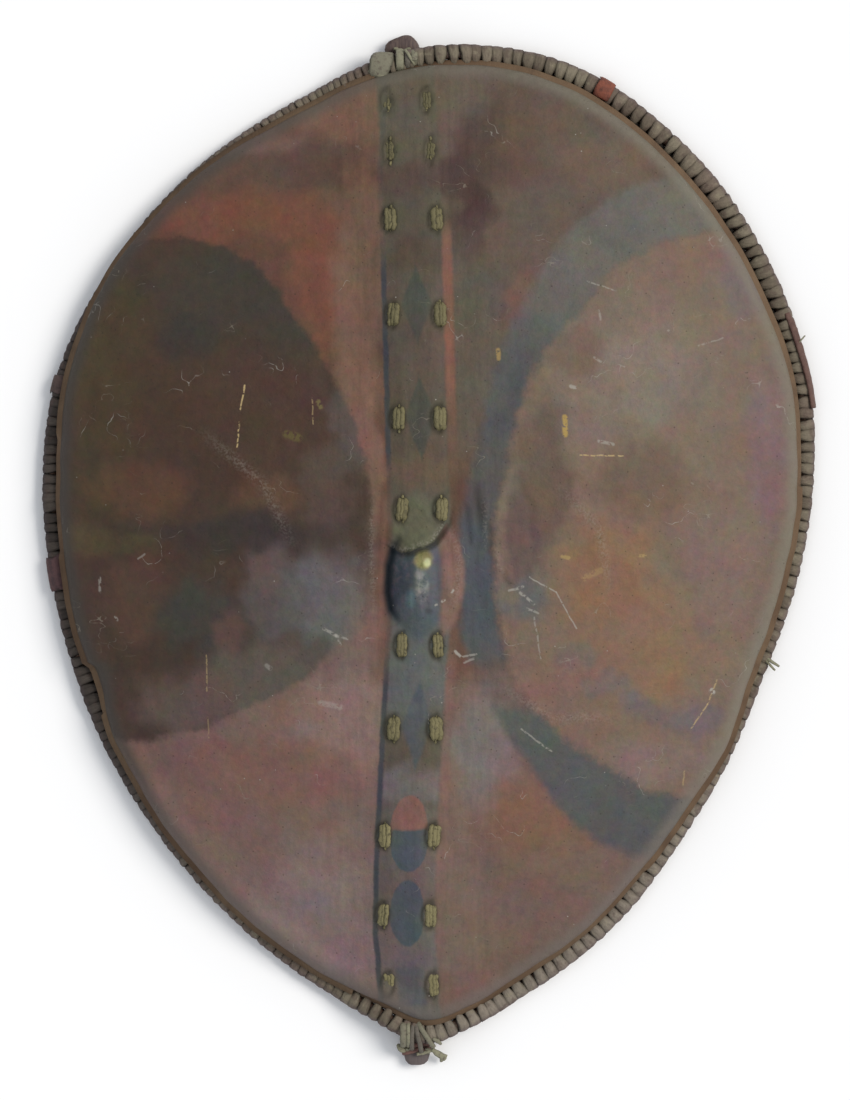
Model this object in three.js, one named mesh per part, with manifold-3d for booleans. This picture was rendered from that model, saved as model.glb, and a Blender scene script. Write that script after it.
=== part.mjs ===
// Hide shield of the East African egg shape, lying on its back with the painted face up.
// Millimetres. +Z is up, +Y points to the shield's broad top, +X to the right of who looks down on
// the face. The origin is on the floor, under the middle of the shield's length and width.
//
// One thick rawhide dome ends in a flange, which a bent rod stiffens: a thong whips rod and flange
// together all round. A bowed wooden stave stands behind the face, tied to it by eleven lashings,
// and passes under the rim at both ends. Behind the hand boss the stave bows back as the grip.

import * as THREE from 'three';
import Module from 'manifold-3d';

const wasm = await Module();
wasm.setup();

// ---- driving dimensions ----------------------------------------------------------------------

const GRIP = new THREE.Vector2(-6, -30); // middle of the hand grip, in plan
const STATIONS = 60; // vertical planes through the grip, one every 6 degrees

// The lashed rim, by bearing from +X about the grip, anticlockwise:
// bearing in degrees, reach of the rim's outer edge, and how far inside it the hide's shoulder stands.
const RIM_EDGE = [
  [0, 337, 14], [15, 365, 16], [30, 399, 19], [45, 431, 23], [60, 463, 23], [75, 488, 21],
  [90, 484, 18], [105, 451, 12], [120, 426, 7], [135, 402, 5], [150, 382, 12], [165, 357, 17],
  [180, 336, 15], [195, 326, 14], [210, 325, 12], [225, 332, 11], [240, 349, 10], [255, 376, 13],
  [263, 396, 18], [270, 415, 22], [277, 401, 19], [285, 381, 18], [300, 353, 17], [315, 329, 14],
  [330, 319, 9], [345, 319, 13],
];
// The stave's middle line in plan: place along the shield, and sideways.
const SPINE = [
  [-465, -12], [-391, -17], [-327, -21], [-159, -14], [-30, -7], [117, -10], [296, -15],
  [407, -21], [465, -25],
];
const STAVE_END_BEARINGS = [92.2, 269.2]; // where the stave passes under the rim
const STAVE_TIPS = [-465, 465];

const HIDE_THICKNESS = 5;
const CREST_HEIGHT = 106; // the dome's middle, without the boss
const DOME_ROUNDNESS = 2.2; // 2 would be a parabola, more is flatter on top
const SHOULDER_WIDTH = 24; // plan width of the rounded shoulder
const SHOULDER_RISE = 30; // shoulder above the flange, at the sides
const SHOULDER_RISE_AT_ENDS = 13; // and where the stave draws it down
const SHOULDER_LOW_SPREAD = 20; // degrees of bearing over which it comes down

const BOSS = { x: -9, y: -25.5, halfWidth: 28, halfLength: 48.5, height: 13 };

const ROD = { middle: -8.5, height: 8.5, radius: 5.6 }; // hoop inside the lacing
const FLANGE = { edge: -14.6, foot: -21.5, underside: 6 };
const RIM_HEIGHT = 17; // over the lacing
const RIM_LIFT = 10.8; // the rim rides over the stave's ends
const LIFT_FLAT = 26; // half width of the lifted stretch, then it slopes down
const LIFT_FOOT = 85;

// The open sleeve of thong round rod and flange: place across the rim (0 is its outer edge), height.
const BINDING_OUTLINE = [
  [-19.5, 11.4], [-19, 14], [-12, 17], [-5, 17], [0, 12], [0, 5], [-5, 0], [-12, 0], [-19, 3],
  [-19.5, 5.6], [-14.4, 5.6], [-11.2, 2.5], [-5.8, 2.5], [-2.5, 5.8], [-2.5, 11.2], [-5.8, 14.5],
  [-11.2, 14.5], [-14.4, 11.4],
];

const STAVE = {
  halfWidth: 12,
  gripHalfWidth: 10.5,
  thickness: 14,
  endThickness: 7,
  endBottom: 3.2,
  ramp: 0.55,
  gripBow: 22,
  gripHalfLength: 54,
  gripMiddle: -25,
  hideGap: 1.8,
  clearOfRim: 33,
  slimHalfLength: 130,
  knobHalfWidth: 14,
  knobLength: 17,
};

// Lashings from top to bottom: place along the shield, and half the distance between the two stitches.
const LASHINGS = [
  [404.5, 17.5], [358, 18.5], [296, 21], [210, 21], [117, 18.5], [36, 17.6], [-85, 16], [-159, 19],
  [-255, 22], [-327, 21], [-391, 20],
];
const STITCH = { halfLength: 9, width: 8, thickness: 3, gap: 0.6, staveGap: 1.2, clearance: 0.4 };
const END_TIE = { sideways: 19, outside: 2.6, inside: -23.4, width: 5, thickness: 2.4, clearance: 0.4 };

// Scraps of hide folded over the lacing: first and last bearing, and colour.
const RIM_PATCHES = [
  ['rim_patch_red', 68.8, 70.8, 'redHide'],
  ['rim_patch_brown', 150.2, 153.0, 'brownHide'],
  ['rim_patch_maroon', 175.8, 181.6, 'maroonHide'],
];
const PATCH = { gap: 0.45, thickness: 1.6 };
// The rim strip's lapped end lies outside the lacing, thin where it goes under it.
const LAP_BEARINGS = [24, 30, 34.5];
const LAP_THICKNESS = [4.9, 4, 1.8];
const LAP = { gap: 0.5, low: 4, high: 13 };

// ---- curves ------------------------------------------------------------------------------------

// Smooth curve through rows [place, value...], by cubic pieces with the slopes of the neighbours.
function curveThrough(rows, column, place) {
  let i = 1;
  while (i < rows.length - 1 && rows[i][0] < place) i += 1;
  const slope = (a, b) => (rows[b][column] - rows[a][column]) / (rows[b][0] - rows[a][0]);
  const startSlope = slope(Math.max(i - 2, 0), i);
  const endSlope = slope(i - 1, Math.min(i + 1, rows.length - 1));
  const span = rows[i][0] - rows[i - 1][0];
  const s = (place - rows[i - 1][0]) / span;
  const start = rows[i - 1][column];
  const end = rows[i][column];
  return start * (2 * s ** 3 - 3 * s ** 2 + 1) + startSlope * span * (s ** 3 - 2 * s ** 2 + s)
    + end * (3 * s ** 2 - 2 * s ** 3) + endSlope * span * (s ** 3 - s ** 2);
}

const WRAPPED_EDGE = [-360, 0, 360].flatMap((turn) =>
  RIM_EDGE.map(([bearing, reach, inset]) => [bearing + turn, reach, inset]));
const rimReach = (bearing) => curveThrough(WRAPPED_EDGE, 1, bearing);
const shoulderInset = (bearing) => curveThrough(WRAPPED_EDGE, 2, bearing);
const spineX = (y) => curveThrough(SPINE, 1, y);
const smoothStep = (s) => THREE.MathUtils.smoothstep(s, 0, 1);

// The rim crosses most bearings at a slant, so a width across it is longer along the bearing.
function slant(bearing) {
  const change = (rimReach(bearing + 1) - rimReach(bearing - 1)) / THREE.MathUtils.degToRad(2);
  return Math.hypot(1, change / rimReach(bearing));
}

function fromStaveEnd(bearing) {
  const turns = STAVE_END_BEARINGS.map((end) => Math.abs(((bearing - end + 540) % 360) - 180));
  return Math.min(...turns);
}

function rimLift(bearing) {
  const turn = fromStaveEnd(bearing);
  if (turn > 45) return 0;
  const sideways = rimReach(bearing) * Math.sin(THREE.MathUtils.degToRad(turn));
  return RIM_LIFT * smoothStep((LIFT_FOOT - sideways) / (LIFT_FOOT - LIFT_FLAT));
}

function shoulderRise(bearing) {
  const low = Math.exp(-((fromStaveEnd(bearing) / SHOULDER_LOW_SPREAD) ** 2));
  return THREE.MathUtils.lerp(SHOULDER_RISE, SHOULDER_RISE_AT_ENDS, low);
}

function bossHeight(x, y) {
  const along = 1 - ((y - BOSS.y) / BOSS.halfLength) ** 2;
  if (along <= 0) return 0;
  const across = 1 - ((x - BOSS.x) / (BOSS.halfWidth * along)) ** 2;
  return across <= 0 ? 0 : BOSS.height * across * Math.sqrt(along);
}

function inPlane(bearing, distance, height) {
  const angle = THREE.MathUtils.degToRad(bearing);
  return new THREE.Vector3(
    GRIP.x + distance * Math.cos(angle), GRIP.y + distance * Math.sin(angle), height);
}

// A point of the rim, straight between the stations as every ring here is:
// place across the rim from its outer edge, and height over the rim's underside.
function rimPoint(bearing, across, height) {
  const step = 360 / STATIONS;
  const first = Math.floor(bearing / step + 1e-9) * step;
  const at = (b) => inPlane(b, rimReach(b) + across * slant(b), rimLift(b) + height);
  return at(first).lerp(at(first + step), (bearing - first) / step);
}

// ---- the hide's outer face, as a line in one vertical plane from the flange in to the middle ------

const BROW = 3; // the point of the line where the shoulder stands furthest out
const DOME_RINGS = [0.86, 0.64, 0.42]; // parts of the way out to the shoulder
const BOSS_RINGS = [60, 40, 19, 0];

function faceLine(bearing, withBoss = true) {
  const reach = rimReach(bearing);
  const widen = slant(bearing);
  const inset = shoulderInset(bearing);
  const rise = shoulderRise(bearing);
  const flangeTop = FLANGE.underside + HIDE_THICKNESS;
  const lift = rimLift(bearing);
  const across = (place, height) =>
    new THREE.Vector2(reach + place * widen, lift + flangeTop + height);
  const shoulder = across(-inset - SHOULDER_WIDTH, rise);
  const onDome = (distance) => {
    const part = (distance / shoulder.x) ** DOME_ROUNDNESS;
    const spot = inPlane(bearing, distance, 0);
    const boss = withBoss ? bossHeight(spot.x, spot.y) : 0;
    return new THREE.Vector2(distance, THREE.MathUtils.lerp(CREST_HEIGHT, shoulder.y, part) + boss);
  };
  return [
    across(FLANGE.edge, 0),
    across(FLANGE.foot, 0),
    across(Math.min(FLANGE.foot, -inset - 1), 0.2 * rise),
    across(-inset, 0.46 * rise),
    across(-inset - 0.27 * SHOULDER_WIDTH, 0.8 * rise),
    shoulder,
    ...DOME_RINGS.map((part) => onDome(part * shoulder.x)),
    ...BOSS_RINGS.map(onDome),
  ];
}

function heightOn(lineAt, x, y) {
  const bearing = (THREE.MathUtils.radToDeg(Math.atan2(y - GRIP.y, x - GRIP.x)) + 360) % 360;
  const distance = Math.hypot(x - GRIP.x, y - GRIP.y);
  const line = lineAt(bearing);
  for (let i = BROW; i < line.length - 1; i += 1) {
    if (distance <= line[i].x && distance >= line[i + 1].x) {
      const part = (distance - line[i + 1].x) / (line[i].x - line[i + 1].x);
      return THREE.MathUtils.lerp(line[i + 1].y, line[i].y, part);
    }
  }
  return Infinity;
}

const faceHeight = (x, y) => heightOn(faceLine, x, y);
const undersideHeight = (x, y) => heightOn((bearing) => innerLine(faceLine(bearing, false)), x, y);

// The same line moved in by the hide's thickness, with square corners kept.
function innerLine(line) {
  const normals = [];
  for (let i = 0; i < line.length - 1; i += 1) {
    const run = line[i + 1].clone().sub(line[i]).normalize();
    normals.push(new THREE.Vector2(-run.y, run.x));
  }
  return line.map((point, i) => {
    if (i === line.length - 1) return new THREE.Vector2(0, point.y - HIDE_THICKNESS);
    const before = normals[Math.max(i - 1, 0)];
    const after = normals[i];
    const mitre = before.clone().add(after).multiplyScalar(HIDE_THICKNESS / (1 + before.dot(after)));
    return point.clone().add(mitre);
  });
}

// ---- closed meshes -------------------------------------------------------------------------------

function signedVolume(vertices, triangles) {
  return triangles.reduce((sum, [a, b, c]) =>
    sum + vertices[a].dot(vertices[b].clone().cross(vertices[c])) / 6, 0);
}

function closedMesh(vertices, triangles) {
  const outward = signedVolume(vertices, triangles) > 0;
  const index = triangles.flatMap(([a, b, c]) => (outward ? [a, b, c] : [a, c, b]));
  const geometry = new THREE.BufferGeometry();
  const numbers = vertices.flatMap((vertex) => vertex.toArray());
  geometry.setAttribute('position', new THREE.Float32BufferAttribute(numbers, 3));
  geometry.setIndex(index);
  return geometry;
}

function joinSections(sections, ring) {
  const size = sections[0].length;
  const triangles = [];
  const spans = ring ? sections.length : sections.length - 1;
  for (let i = 0; i < spans; i += 1) {
    const here = i * size;
    const next = ((i + 1) % sections.length) * size;
    for (let j = 0; j < size; j += 1) {
      const k = (j + 1) % size;
      triangles.push([here + j, here + k, next + k]);
      triangles.push([here + j, next + k, next + j]);
    }
  }
  return triangles;
}

const ringBody = (sections) => closedMesh(sections.flat(), joinSections(sections, true));

// A body lofted through sections, closed at both ends; outline is the sections' flat shape.
function barBody(sections, outline) {
  const triangles = joinSections(sections, false);
  const last = (sections.length - 1) * outline.length;
  const forward = THREE.ShapeUtils.area(outline) > 0;
  for (const corners of THREE.ShapeUtils.triangulateShape(outline, [])) {
    const anticlockwise = THREE.ShapeUtils.area(corners.map((corner) => outline[corner])) > 0;
    const [a, b, c] = anticlockwise === forward ? corners : [...corners].reverse();
    triangles.push([a, c, b]);
    triangles.push([last + a, last + b, last + c]);
  }
  return closedMesh(sections.flat(), triangles);
}

function toSolid(geometry) {
  return new wasm.Manifold(new wasm.Mesh({
    numProp: 3,
    vertProperties: new Float32Array(geometry.attributes.position.array),
    triVerts: new Uint32Array(geometry.index.array),
  }));
}

function toGeometry(solid) {
  const mesh = solid.getMesh();
  const geometry = new THREE.BufferGeometry();
  const stride = mesh.numProp;
  const numbers = [];
  for (let i = 0; i < mesh.vertProperties.length; i += stride) {
    numbers.push(...mesh.vertProperties.slice(i, i + 3));
  }
  geometry.setAttribute('position', new THREE.Float32BufferAttribute(numbers, 3));
  geometry.setIndex([...mesh.triVerts]);
  return geometry;
}

// An upright-sided block between two ends along X, each end an outline in Y and Z.
function acrossBody(ends) {
  const sections = ends.map(({ x, outline }) => outline.map(([y, z]) => new THREE.Vector3(x, y, z)));
  return barBody(sections, ends[0].outline.map(([y, z]) => new THREE.Vector2(y, z)));
}

function block(low, high) {
  const outline = [[low.y, low.z], [high.y, low.z], [high.y, high.z], [low.y, high.z]];
  return acrossBody([{ x: low.x, outline }, { x: high.x, outline }]);
}

function joined(geometries) {
  return geometries.map(toSolid).reduce((whole, piece) => whole.add(piece));
}

// ---- hide ----------------------------------------------------------------------------------------

function hideShell() {
  const vertices = [];
  const lines = [];
  for (let i = 0; i < STATIONS; i += 1) {
    const bearing = (360 / STATIONS) * i;
    const outer = faceLine(bearing);
    const inner = innerLine(outer);
    lines.push({ bearing, points: [...inner.slice(0, -1).reverse(), ...outer.slice(0, -1)] });
  }
  const size = lines[0].points.length;
  for (const { bearing, points } of lines) {
    vertices.push(...points.map((point) => inPlane(bearing, point.x, point.y)));
  }
  const crest = faceHeight(GRIP.x, GRIP.y);
  const innerPole = vertices.push(inPlane(0, 0, crest - HIDE_THICKNESS)) - 1;
  const outerPole = vertices.push(inPlane(0, 0, crest)) - 1;
  const triangles = [];
  for (let i = 0; i < STATIONS; i += 1) {
    const here = i * size;
    const next = ((i + 1) % STATIONS) * size;
    for (let j = 0; j < size - 1; j += 1) {
      triangles.push([here + j, here + j + 1, next + j + 1]);
      triangles.push([here + j, next + j + 1, next + j]);
    }
    triangles.push([innerPole, here, next]);
    triangles.push([outerPole, next + size - 1, here + size - 1]);
  }
  return closedMesh(vertices, triangles);
}

function uprightSlot({ x, y }, width, thickness) {
  const half = new THREE.Vector3(width / 2, thickness / 2, 0);
  const low = new THREE.Vector3(x, y, 0).sub(half);
  const high = new THREE.Vector3(x, y, CREST_HEIGHT + 2 * BOSS.height).add(half);
  return block(low, high);
}

// The four corners where a lashing's thong goes through the hide.
function lashingLegs([y, halfSpacing]) {
  return [-1, 1].flatMap((side) => [-1, 1].map((end) => ({
    x: spineX(y) + side * halfSpacing,
    y: y + end * STITCH.halfLength,
  })));
}

// The place on the rim, at one width across it, where it passes a given x near a stave end.
function rimSpot(endBearing, x, across) {
  let bearing = endBearing;
  for (let i = 0; i < 8; i += 1) {
    const miss = rimPoint(bearing, across, 0).x - x;
    const forward = endBearing < 180 ? 1 : -1;
    bearing += forward * THREE.MathUtils.radToDeg(miss / rimReach(bearing));
  }
  return rimPoint(bearing, across, 0);
}

function endTieLegs(endBearing) {
  const middle = spineX(rimPoint(endBearing, END_TIE.inside, 0).y);
  return [-1, 1].map((side) => {
    const x = middle + side * END_TIE.sideways;
    return {
      outside: rimSpot(endBearing, x, END_TIE.outside),
      inside: rimSpot(endBearing, x, END_TIE.inside),
    };
  });
}

function hideFace() {
  const cutters = LASHINGS.flatMap(lashingLegs).map((leg) => uprightSlot(
    leg, STITCH.width + 2 * STITCH.clearance, STITCH.thickness + 2 * STITCH.clearance));
  for (const { inside } of STAVE_END_BEARINGS.flatMap(endTieLegs)) {
    cutters.push(uprightSlot(
      inside, END_TIE.width + 2 * END_TIE.clearance, END_TIE.thickness + 2 * END_TIE.clearance));
  }
  return toGeometry(cutters.reduce((hide, cutter) => hide.subtract(toSolid(cutter)),
    toSolid(hideShell())));
}

// ---- rim -----------------------------------------------------------------------------------------

function rimRing(outline) {
  return ringBody(Array.from({ length: STATIONS }, (_, i) =>
    outline.map(([across, height]) => rimPoint((360 / STATIONS) * i, across, height))));
}

function rodOutline() {
  return Array.from({ length: 6 }, (_, i) => {
    const angle = THREE.MathUtils.degToRad(60 * i);
    return [ROD.middle + ROD.radius * Math.cos(angle), ROD.height + ROD.radius * Math.sin(angle)];
  });
}

function patchBody(first, last) {
  const near = PATCH.gap;
  const far = PATCH.gap + PATCH.thickness;
  const outline = [
    [-13, RIM_HEIGHT + near], [-4.8, RIM_HEIGHT + near], [near, 12.2], [near, 4],
    [far, 4], [far, 12.9], [-4.1, RIM_HEIGHT + far], [-13, RIM_HEIGHT + far],
  ];
  const step = 360 / STATIONS;
  const bearings = [first, last];
  const middle = Math.ceil(first / step) * step;
  if (middle < last) bearings.splice(1, 0, middle);
  const sections = bearings.map((bearing) =>
    outline.map(([across, height]) => rimPoint(bearing, across, height)));
  return barBody(sections, outline.map(([a, b]) => new THREE.Vector2(a, b)));
}

function lapEnd() {
  const sections = LAP_BEARINGS.map((bearing, i) => {
    const far = LAP.gap + LAP_THICKNESS[i];
    return [[LAP.gap, LAP.low], [far, LAP.low], [far, LAP.high], [LAP.gap, LAP.high]]
      .map(([across, height]) => rimPoint(bearing, across, height));
  });
  const outline = [[0, 0], [1, 0], [1, 1], [0, 1]].map(([a, b]) => new THREE.Vector2(a, b));
  return barBody(sections, outline);
}

// ---- stave ---------------------------------------------------------------------------------------

const rimAlongSpine = { top: GRIP.y + rimReach(STAVE_END_BEARINGS[0]),
  bottom: GRIP.y - rimReach(STAVE_END_BEARINGS[1]) };

function insideRim(y) {
  return Math.min(rimAlongSpine.top - y, y - rimAlongSpine.bottom);
}

function gripBow(y) {
  const part = (y - STAVE.gripMiddle) / STAVE.gripHalfLength;
  return Math.abs(part) < 1 ? STAVE.gripBow * (1 - part ** 2) ** 2 : 0;
}

function staveTop(y) {
  const endTop = STAVE.endBottom + STAVE.endThickness;
  const ramp = endTop + STAVE.ramp * Math.max(0, insideRim(y) - STAVE.clearOfRim);
  const underHide = [-1, 1].map((side) =>
    undersideHeight(spineX(y) + side * STAVE.halfWidth, y) - STAVE.hideGap);
  return Math.min(ramp, ...underHide) - gripBow(y);
}

function staveThickness(y) {
  const part = smoothStep((insideRim(y) - STAVE.clearOfRim) / 90);
  return THREE.MathUtils.lerp(STAVE.endThickness, STAVE.thickness, part);
}

function staveHalfWidth(y) {
  if (y > STAVE_TIPS[1] - STAVE.knobLength) return STAVE.knobHalfWidth;
  const fromGrip = Math.abs(y - STAVE.gripMiddle) / STAVE.slimHalfLength;
  return THREE.MathUtils.lerp(STAVE.gripHalfWidth, STAVE.halfWidth, smoothStep(2 * fromGrip - 1));
}

// Flat towards the hide, rounded behind: part of the half width, part of the thickness.
const STAVE_OUTLINE = [
  [-0.8, 1], [0.8, 1], [1, 0.78], [0.95, 0.4], [0.5, 0], [-0.5, 0], [-0.95, 0.4], [-1, 0.78],
];

function stavePlaces() {
  const tipRound = 3;
  const [bottomTip, topTip] = STAVE_TIPS;
  const neck = topTip - STAVE.knobLength;
  const rampFoot = rimAlongSpine.bottom + STAVE.clearOfRim;
  const rampHead = rimAlongSpine.top - STAVE.clearOfRim;
  const gripFoot = STAVE.gripMiddle - STAVE.gripHalfLength;
  const gripHead = STAVE.gripMiddle + STAVE.gripHalfLength;
  const evenly = (from, to, parts) =>
    Array.from({ length: parts }, (_, i) => THREE.MathUtils.lerp(from, to, i / parts));
  return [
    bottomTip, bottomTip + tipRound, ...evenly(rampFoot, gripFoot, 13),
    ...evenly(gripFoot, gripHead, 6), ...evenly(gripHead, rampHead, 15),
    rampHead, neck, neck + 0.5, topTip - tipRound, topTip,
  ];
}

const STAVE_SECTIONS = stavePlaces().map((y) => ({
  y,
  x: spineX(y),
  top: staveTop(y),
  bottom: staveTop(y) - staveThickness(y),
  half: staveHalfWidth(y) * (STAVE_TIPS.includes(y) ? 0.75 : 1),
}));

function stave() {
  const sections = STAVE_SECTIONS.map(({ y, x, top, bottom, half }) =>
    STAVE_OUTLINE.map(([side, up]) =>
      new THREE.Vector3(x + side * half, y, THREE.MathUtils.lerp(bottom, top, up))));
  return barBody(sections, STAVE_OUTLINE.map(([a, b]) => new THREE.Vector2(a, b)));
}

// Lowest height of the stave's back within half a thong's width of a place along it.
function staveBack(place) {
  const heightAt = (y) => {
    const i = STAVE_SECTIONS.findIndex((section) => section.y >= y);
    const [before, after] = [STAVE_SECTIONS[i - 1], STAVE_SECTIONS[i]];
    return THREE.MathUtils.lerp(before.bottom, after.bottom, (y - before.y) / (after.y - before.y));
  };
  const reach = STITCH.thickness / 2;
  return Math.min(heightAt(place - reach), heightAt(place + reach));
}

// ---- lashings ------------------------------------------------------------------------------------

// A thong's staple: up through the hide, along the face and down again, seen from the side.
function stapleOutline(first, second, thickness) {
  const half = thickness / 2;
  const up = Math.sign(second.y - first.y) * half;
  return [
    [first.y - up, first.low], [first.y - up, first.high + thickness],
    [second.y + up, second.high + thickness], [second.y + up, second.low],
    [second.y - up, second.low], [second.y - up, second.high],
    [first.y + up, first.high], [first.y + up, first.low],
  ];
}

// One thong per lashing: a stitch on each side of the stave, and two strands across its back.
function lashing(row) {
  const [y, halfSpacing] = row;
  const { halfLength, width, thickness, gap, staveGap } = STITCH;
  const ends = [y - halfLength, y + halfLength].map((place) => {
    const top = staveBack(place) - staveGap;
    return { y: place, low: top - thickness, strandTop: top };
  });
  const pieces = [-1, 1].map((side) => {
    const x = spineX(y) + side * halfSpacing;
    return acrossBody([x - width / 2, x + width / 2].map((edge) => {
      const [first, second] = ends.map((end) =>
        ({ y: end.y, low: end.low, high: faceHeight(edge, end.y) + gap }));
      return { x: edge, outline: stapleOutline(first, second, thickness) };
    }));
  });
  for (const end of ends) {
    const reach = new THREE.Vector3(halfSpacing, 0.45 * thickness, 0);
    const middle = new THREE.Vector3(spineX(y), end.y, 0);
    const low = middle.clone().sub(reach).setZ(end.low + 0.1);
    const high = middle.clone().add(reach).setZ(end.strandTop);
    pieces.push(block(low, high));
  }
  return toGeometry(joined(pieces));
}

// The thong that ties a stave end: over the rim on both sides of the stave, and under the stave.
function endTie(endBearing) {
  const { width, thickness, clearance } = END_TIE;
  const floorGap = 0.3;
  const strandTop = floorGap + thickness;
  const legs = endTieLegs(endBearing);
  const pieces = legs.map(({ outside, inside }) => acrossBody([-0.5, 0.5].map((side) => {
    const x = inside.x + side * width;
    const first = { y: outside.y, low: floorGap, high: outside.z + RIM_HEIGHT + clearance };
    const overHide = faceHeight(x, inside.y) + 2 * thickness;
    const second = { y: inside.y, low: floorGap, high: overHide };
    return { x, outline: stapleOutline(first, second, thickness) };
  })));
  for (const place of ['outside', 'inside']) {
    const [left, right] = legs.map((leg) => leg[place]);
    const reach = 0.45 * thickness;
    const middle = (left.y + right.y) / 2;
    const spread = Math.abs(left.y - right.y) / 2;
    const low = new THREE.Vector3(left.x, middle - reach - spread, floorGap + 0.1);
    const high = new THREE.Vector3(right.x, middle + reach + spread, strandTop);
    pieces.push(block(low, high));
  }
  return toGeometry(joined(pieces));
}

// ---- the whole shield ----------------------------------------------------------------------------

const COLOURS = {
  hide: [0x5a4038, 0.62],
  thong: [0x7a7262, 0.72],
  wood: [0x4a3026, 0.7],
  redHide: [0x6f3a2c, 0.65],
  brownHide: [0x5a3a2c, 0.65],
  maroonHide: [0x4d2c2c, 0.65],
};

const shield = new THREE.Group();

function addPiece(name, geometry, [color, roughness]) {
  const material = new THREE.MeshStandardMaterial({ color, roughness, metalness: 0 });
  const mesh = new THREE.Mesh(geometry, material);
  mesh.name = name;
  shield.add(mesh);
}

addPiece('hide_face', hideFace(), COLOURS.hide);
addPiece('rim_hoop', rimRing(rodOutline()), COLOURS.wood);
addPiece('rim_binding', rimRing(BINDING_OUTLINE), COLOURS.thong);
addPiece('rim_lap_end', lapEnd(), COLOURS.wood);
for (const [name, first, last, colour] of RIM_PATCHES) {
  addPiece(name, patchBody(first, last), COLOURS[colour]);
}
addPiece('stave', stave(), COLOURS.wood);
LASHINGS.forEach((row, i) => {
  const number = String(i + 1).padStart(2, '0');
  addPiece(`stave_lashing_${number}`, lashing(row), COLOURS.thong);
});
addPiece('top_end_tie', endTie(STAVE_END_BEARINGS[0]), COLOURS.thong);
addPiece('bottom_end_tie', endTie(STAVE_END_BEARINGS[1]), COLOURS.thong);

export default shield;
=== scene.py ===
"""Looks of a painted rawhide shield, lying on its back, built round its solids.

Sizes are in millimetres and meshes in metres. +Z is up, out of the painted face, +Y points to the
broad top, and the origin is on the floor under the middle of the shield's length and width.
"""

import math

import bpy
import numpy as np
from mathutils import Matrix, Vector


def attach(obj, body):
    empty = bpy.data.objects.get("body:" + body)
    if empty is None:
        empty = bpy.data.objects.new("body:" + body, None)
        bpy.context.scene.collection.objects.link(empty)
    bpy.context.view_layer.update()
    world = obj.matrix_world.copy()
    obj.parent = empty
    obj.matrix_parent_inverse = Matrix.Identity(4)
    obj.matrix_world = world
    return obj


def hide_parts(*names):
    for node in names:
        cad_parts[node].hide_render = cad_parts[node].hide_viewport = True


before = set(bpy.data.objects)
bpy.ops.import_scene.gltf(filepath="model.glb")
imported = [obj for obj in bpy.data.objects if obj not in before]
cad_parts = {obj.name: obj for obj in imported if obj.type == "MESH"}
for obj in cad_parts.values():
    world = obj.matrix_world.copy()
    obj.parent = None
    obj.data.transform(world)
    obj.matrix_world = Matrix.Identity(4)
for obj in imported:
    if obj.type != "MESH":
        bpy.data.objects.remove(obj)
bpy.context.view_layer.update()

MM = 0.001

# ---- the shield's sizes --------------------------------------------------------------------------

GRIP = np.array([-6.0, -30.0])  # middle of the hand grip, in plan

# The lashed rim, by bearing from +X about the grip, anticlockwise:
# bearing, reach of the rim's outer edge, and how far inside it the hide's shoulder stands.
RIM_EDGE = [
    (0, 337, 14), (15, 365, 16), (30, 399, 19), (45, 431, 23), (60, 463, 23), (75, 488, 21),
    (90, 484, 18), (105, 451, 12), (120, 426, 7), (135, 402, 5), (150, 382, 12), (165, 357, 17),
    (180, 336, 15), (195, 326, 14), (210, 325, 12), (225, 332, 11), (240, 349, 10), (255, 376, 13),
    (263, 396, 18), (270, 415, 22), (277, 401, 19), (285, 381, 18), (300, 353, 17), (315, 329, 14),
    (330, 319, 9), (345, 319, 13),
]
# The stave's middle line in plan: place along the shield, and sideways.
SPINE = [
    (-465, -12), (-391, -17), (-327, -21), (-159, -14), (-30, -7), (117, -10), (296, -15),
    (407, -21), (465, -25),
]
STAVE_END_BEARINGS = (92.2, 269.2)

HIDE_THICKNESS = 5
CREST_HEIGHT = 106
DOME_ROUNDNESS = 2.2
SHOULDER_WIDTH = 24
SHOULDER_RISE = 30
SHOULDER_RISE_AT_ENDS = 13
SHOULDER_LOW_SPREAD = 20
FLANGE_EDGE = -14.6
FLANGE_FOOT = -21.5
FLANGE_TOP = 11
EDGE_JOG = (193.2, 6.0)  # bearing where the hide's edge steps in, and by how much
BOSS = {"x": -9, "y": -25.5, "half_width": 28, "half_length": 48.5, "height": 13}

ROD_MIDDLE = -8.5
ROD_HEIGHT = 8.5
ROD_RADIUS = 5.4
RIM_LIFT = 10.8
LIFT_FLAT = 26
LIFT_FOOT = 85

# Lashings from top to bottom: place along the shield, half the distance between the stitches, half
# a stitch's breadth, how proud it stands, and how pale its thong is.
LASHINGS = [
    (404.5, 17.5, 4.0, 0.0, 0.0), (358, 18.5, 4.0, -0.2, 0.0), (296, 21, 5.4, 1.5, 0.45),
    (210, 21, 5.4, 1.7, 0.35), (117, 18.5, 5.8, 1.9, 0.45), (36, 17.6, 5.2, 1.9, 0.5),
    (-85, 16, 4.9, 1.9, 0.5), (-159, 19, 5.8, 2.1, 0.6), (-255, 22, 5.4, 1.5, 0.9),
    (-327, 21, 5.0, 1.0, 0.8), (-391, 20, 4.8, 0.4, 0.8),
]
STITCH_HALF_LENGTH = 9

STAVE = {
    "half_width": 12, "grip_half_width": 10.5, "thickness": 14, "end_thickness": 7,
    "end_bottom": 3.2, "ramp": 0.55, "grip_bow": 22, "grip_half_length": 54, "grip_middle": -25,
    "hide_gap": 1.8, "clear_of_rim": 33, "slim_half_length": 130,
}

# ---- curves and heights --------------------------------------------------------------------------


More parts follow.
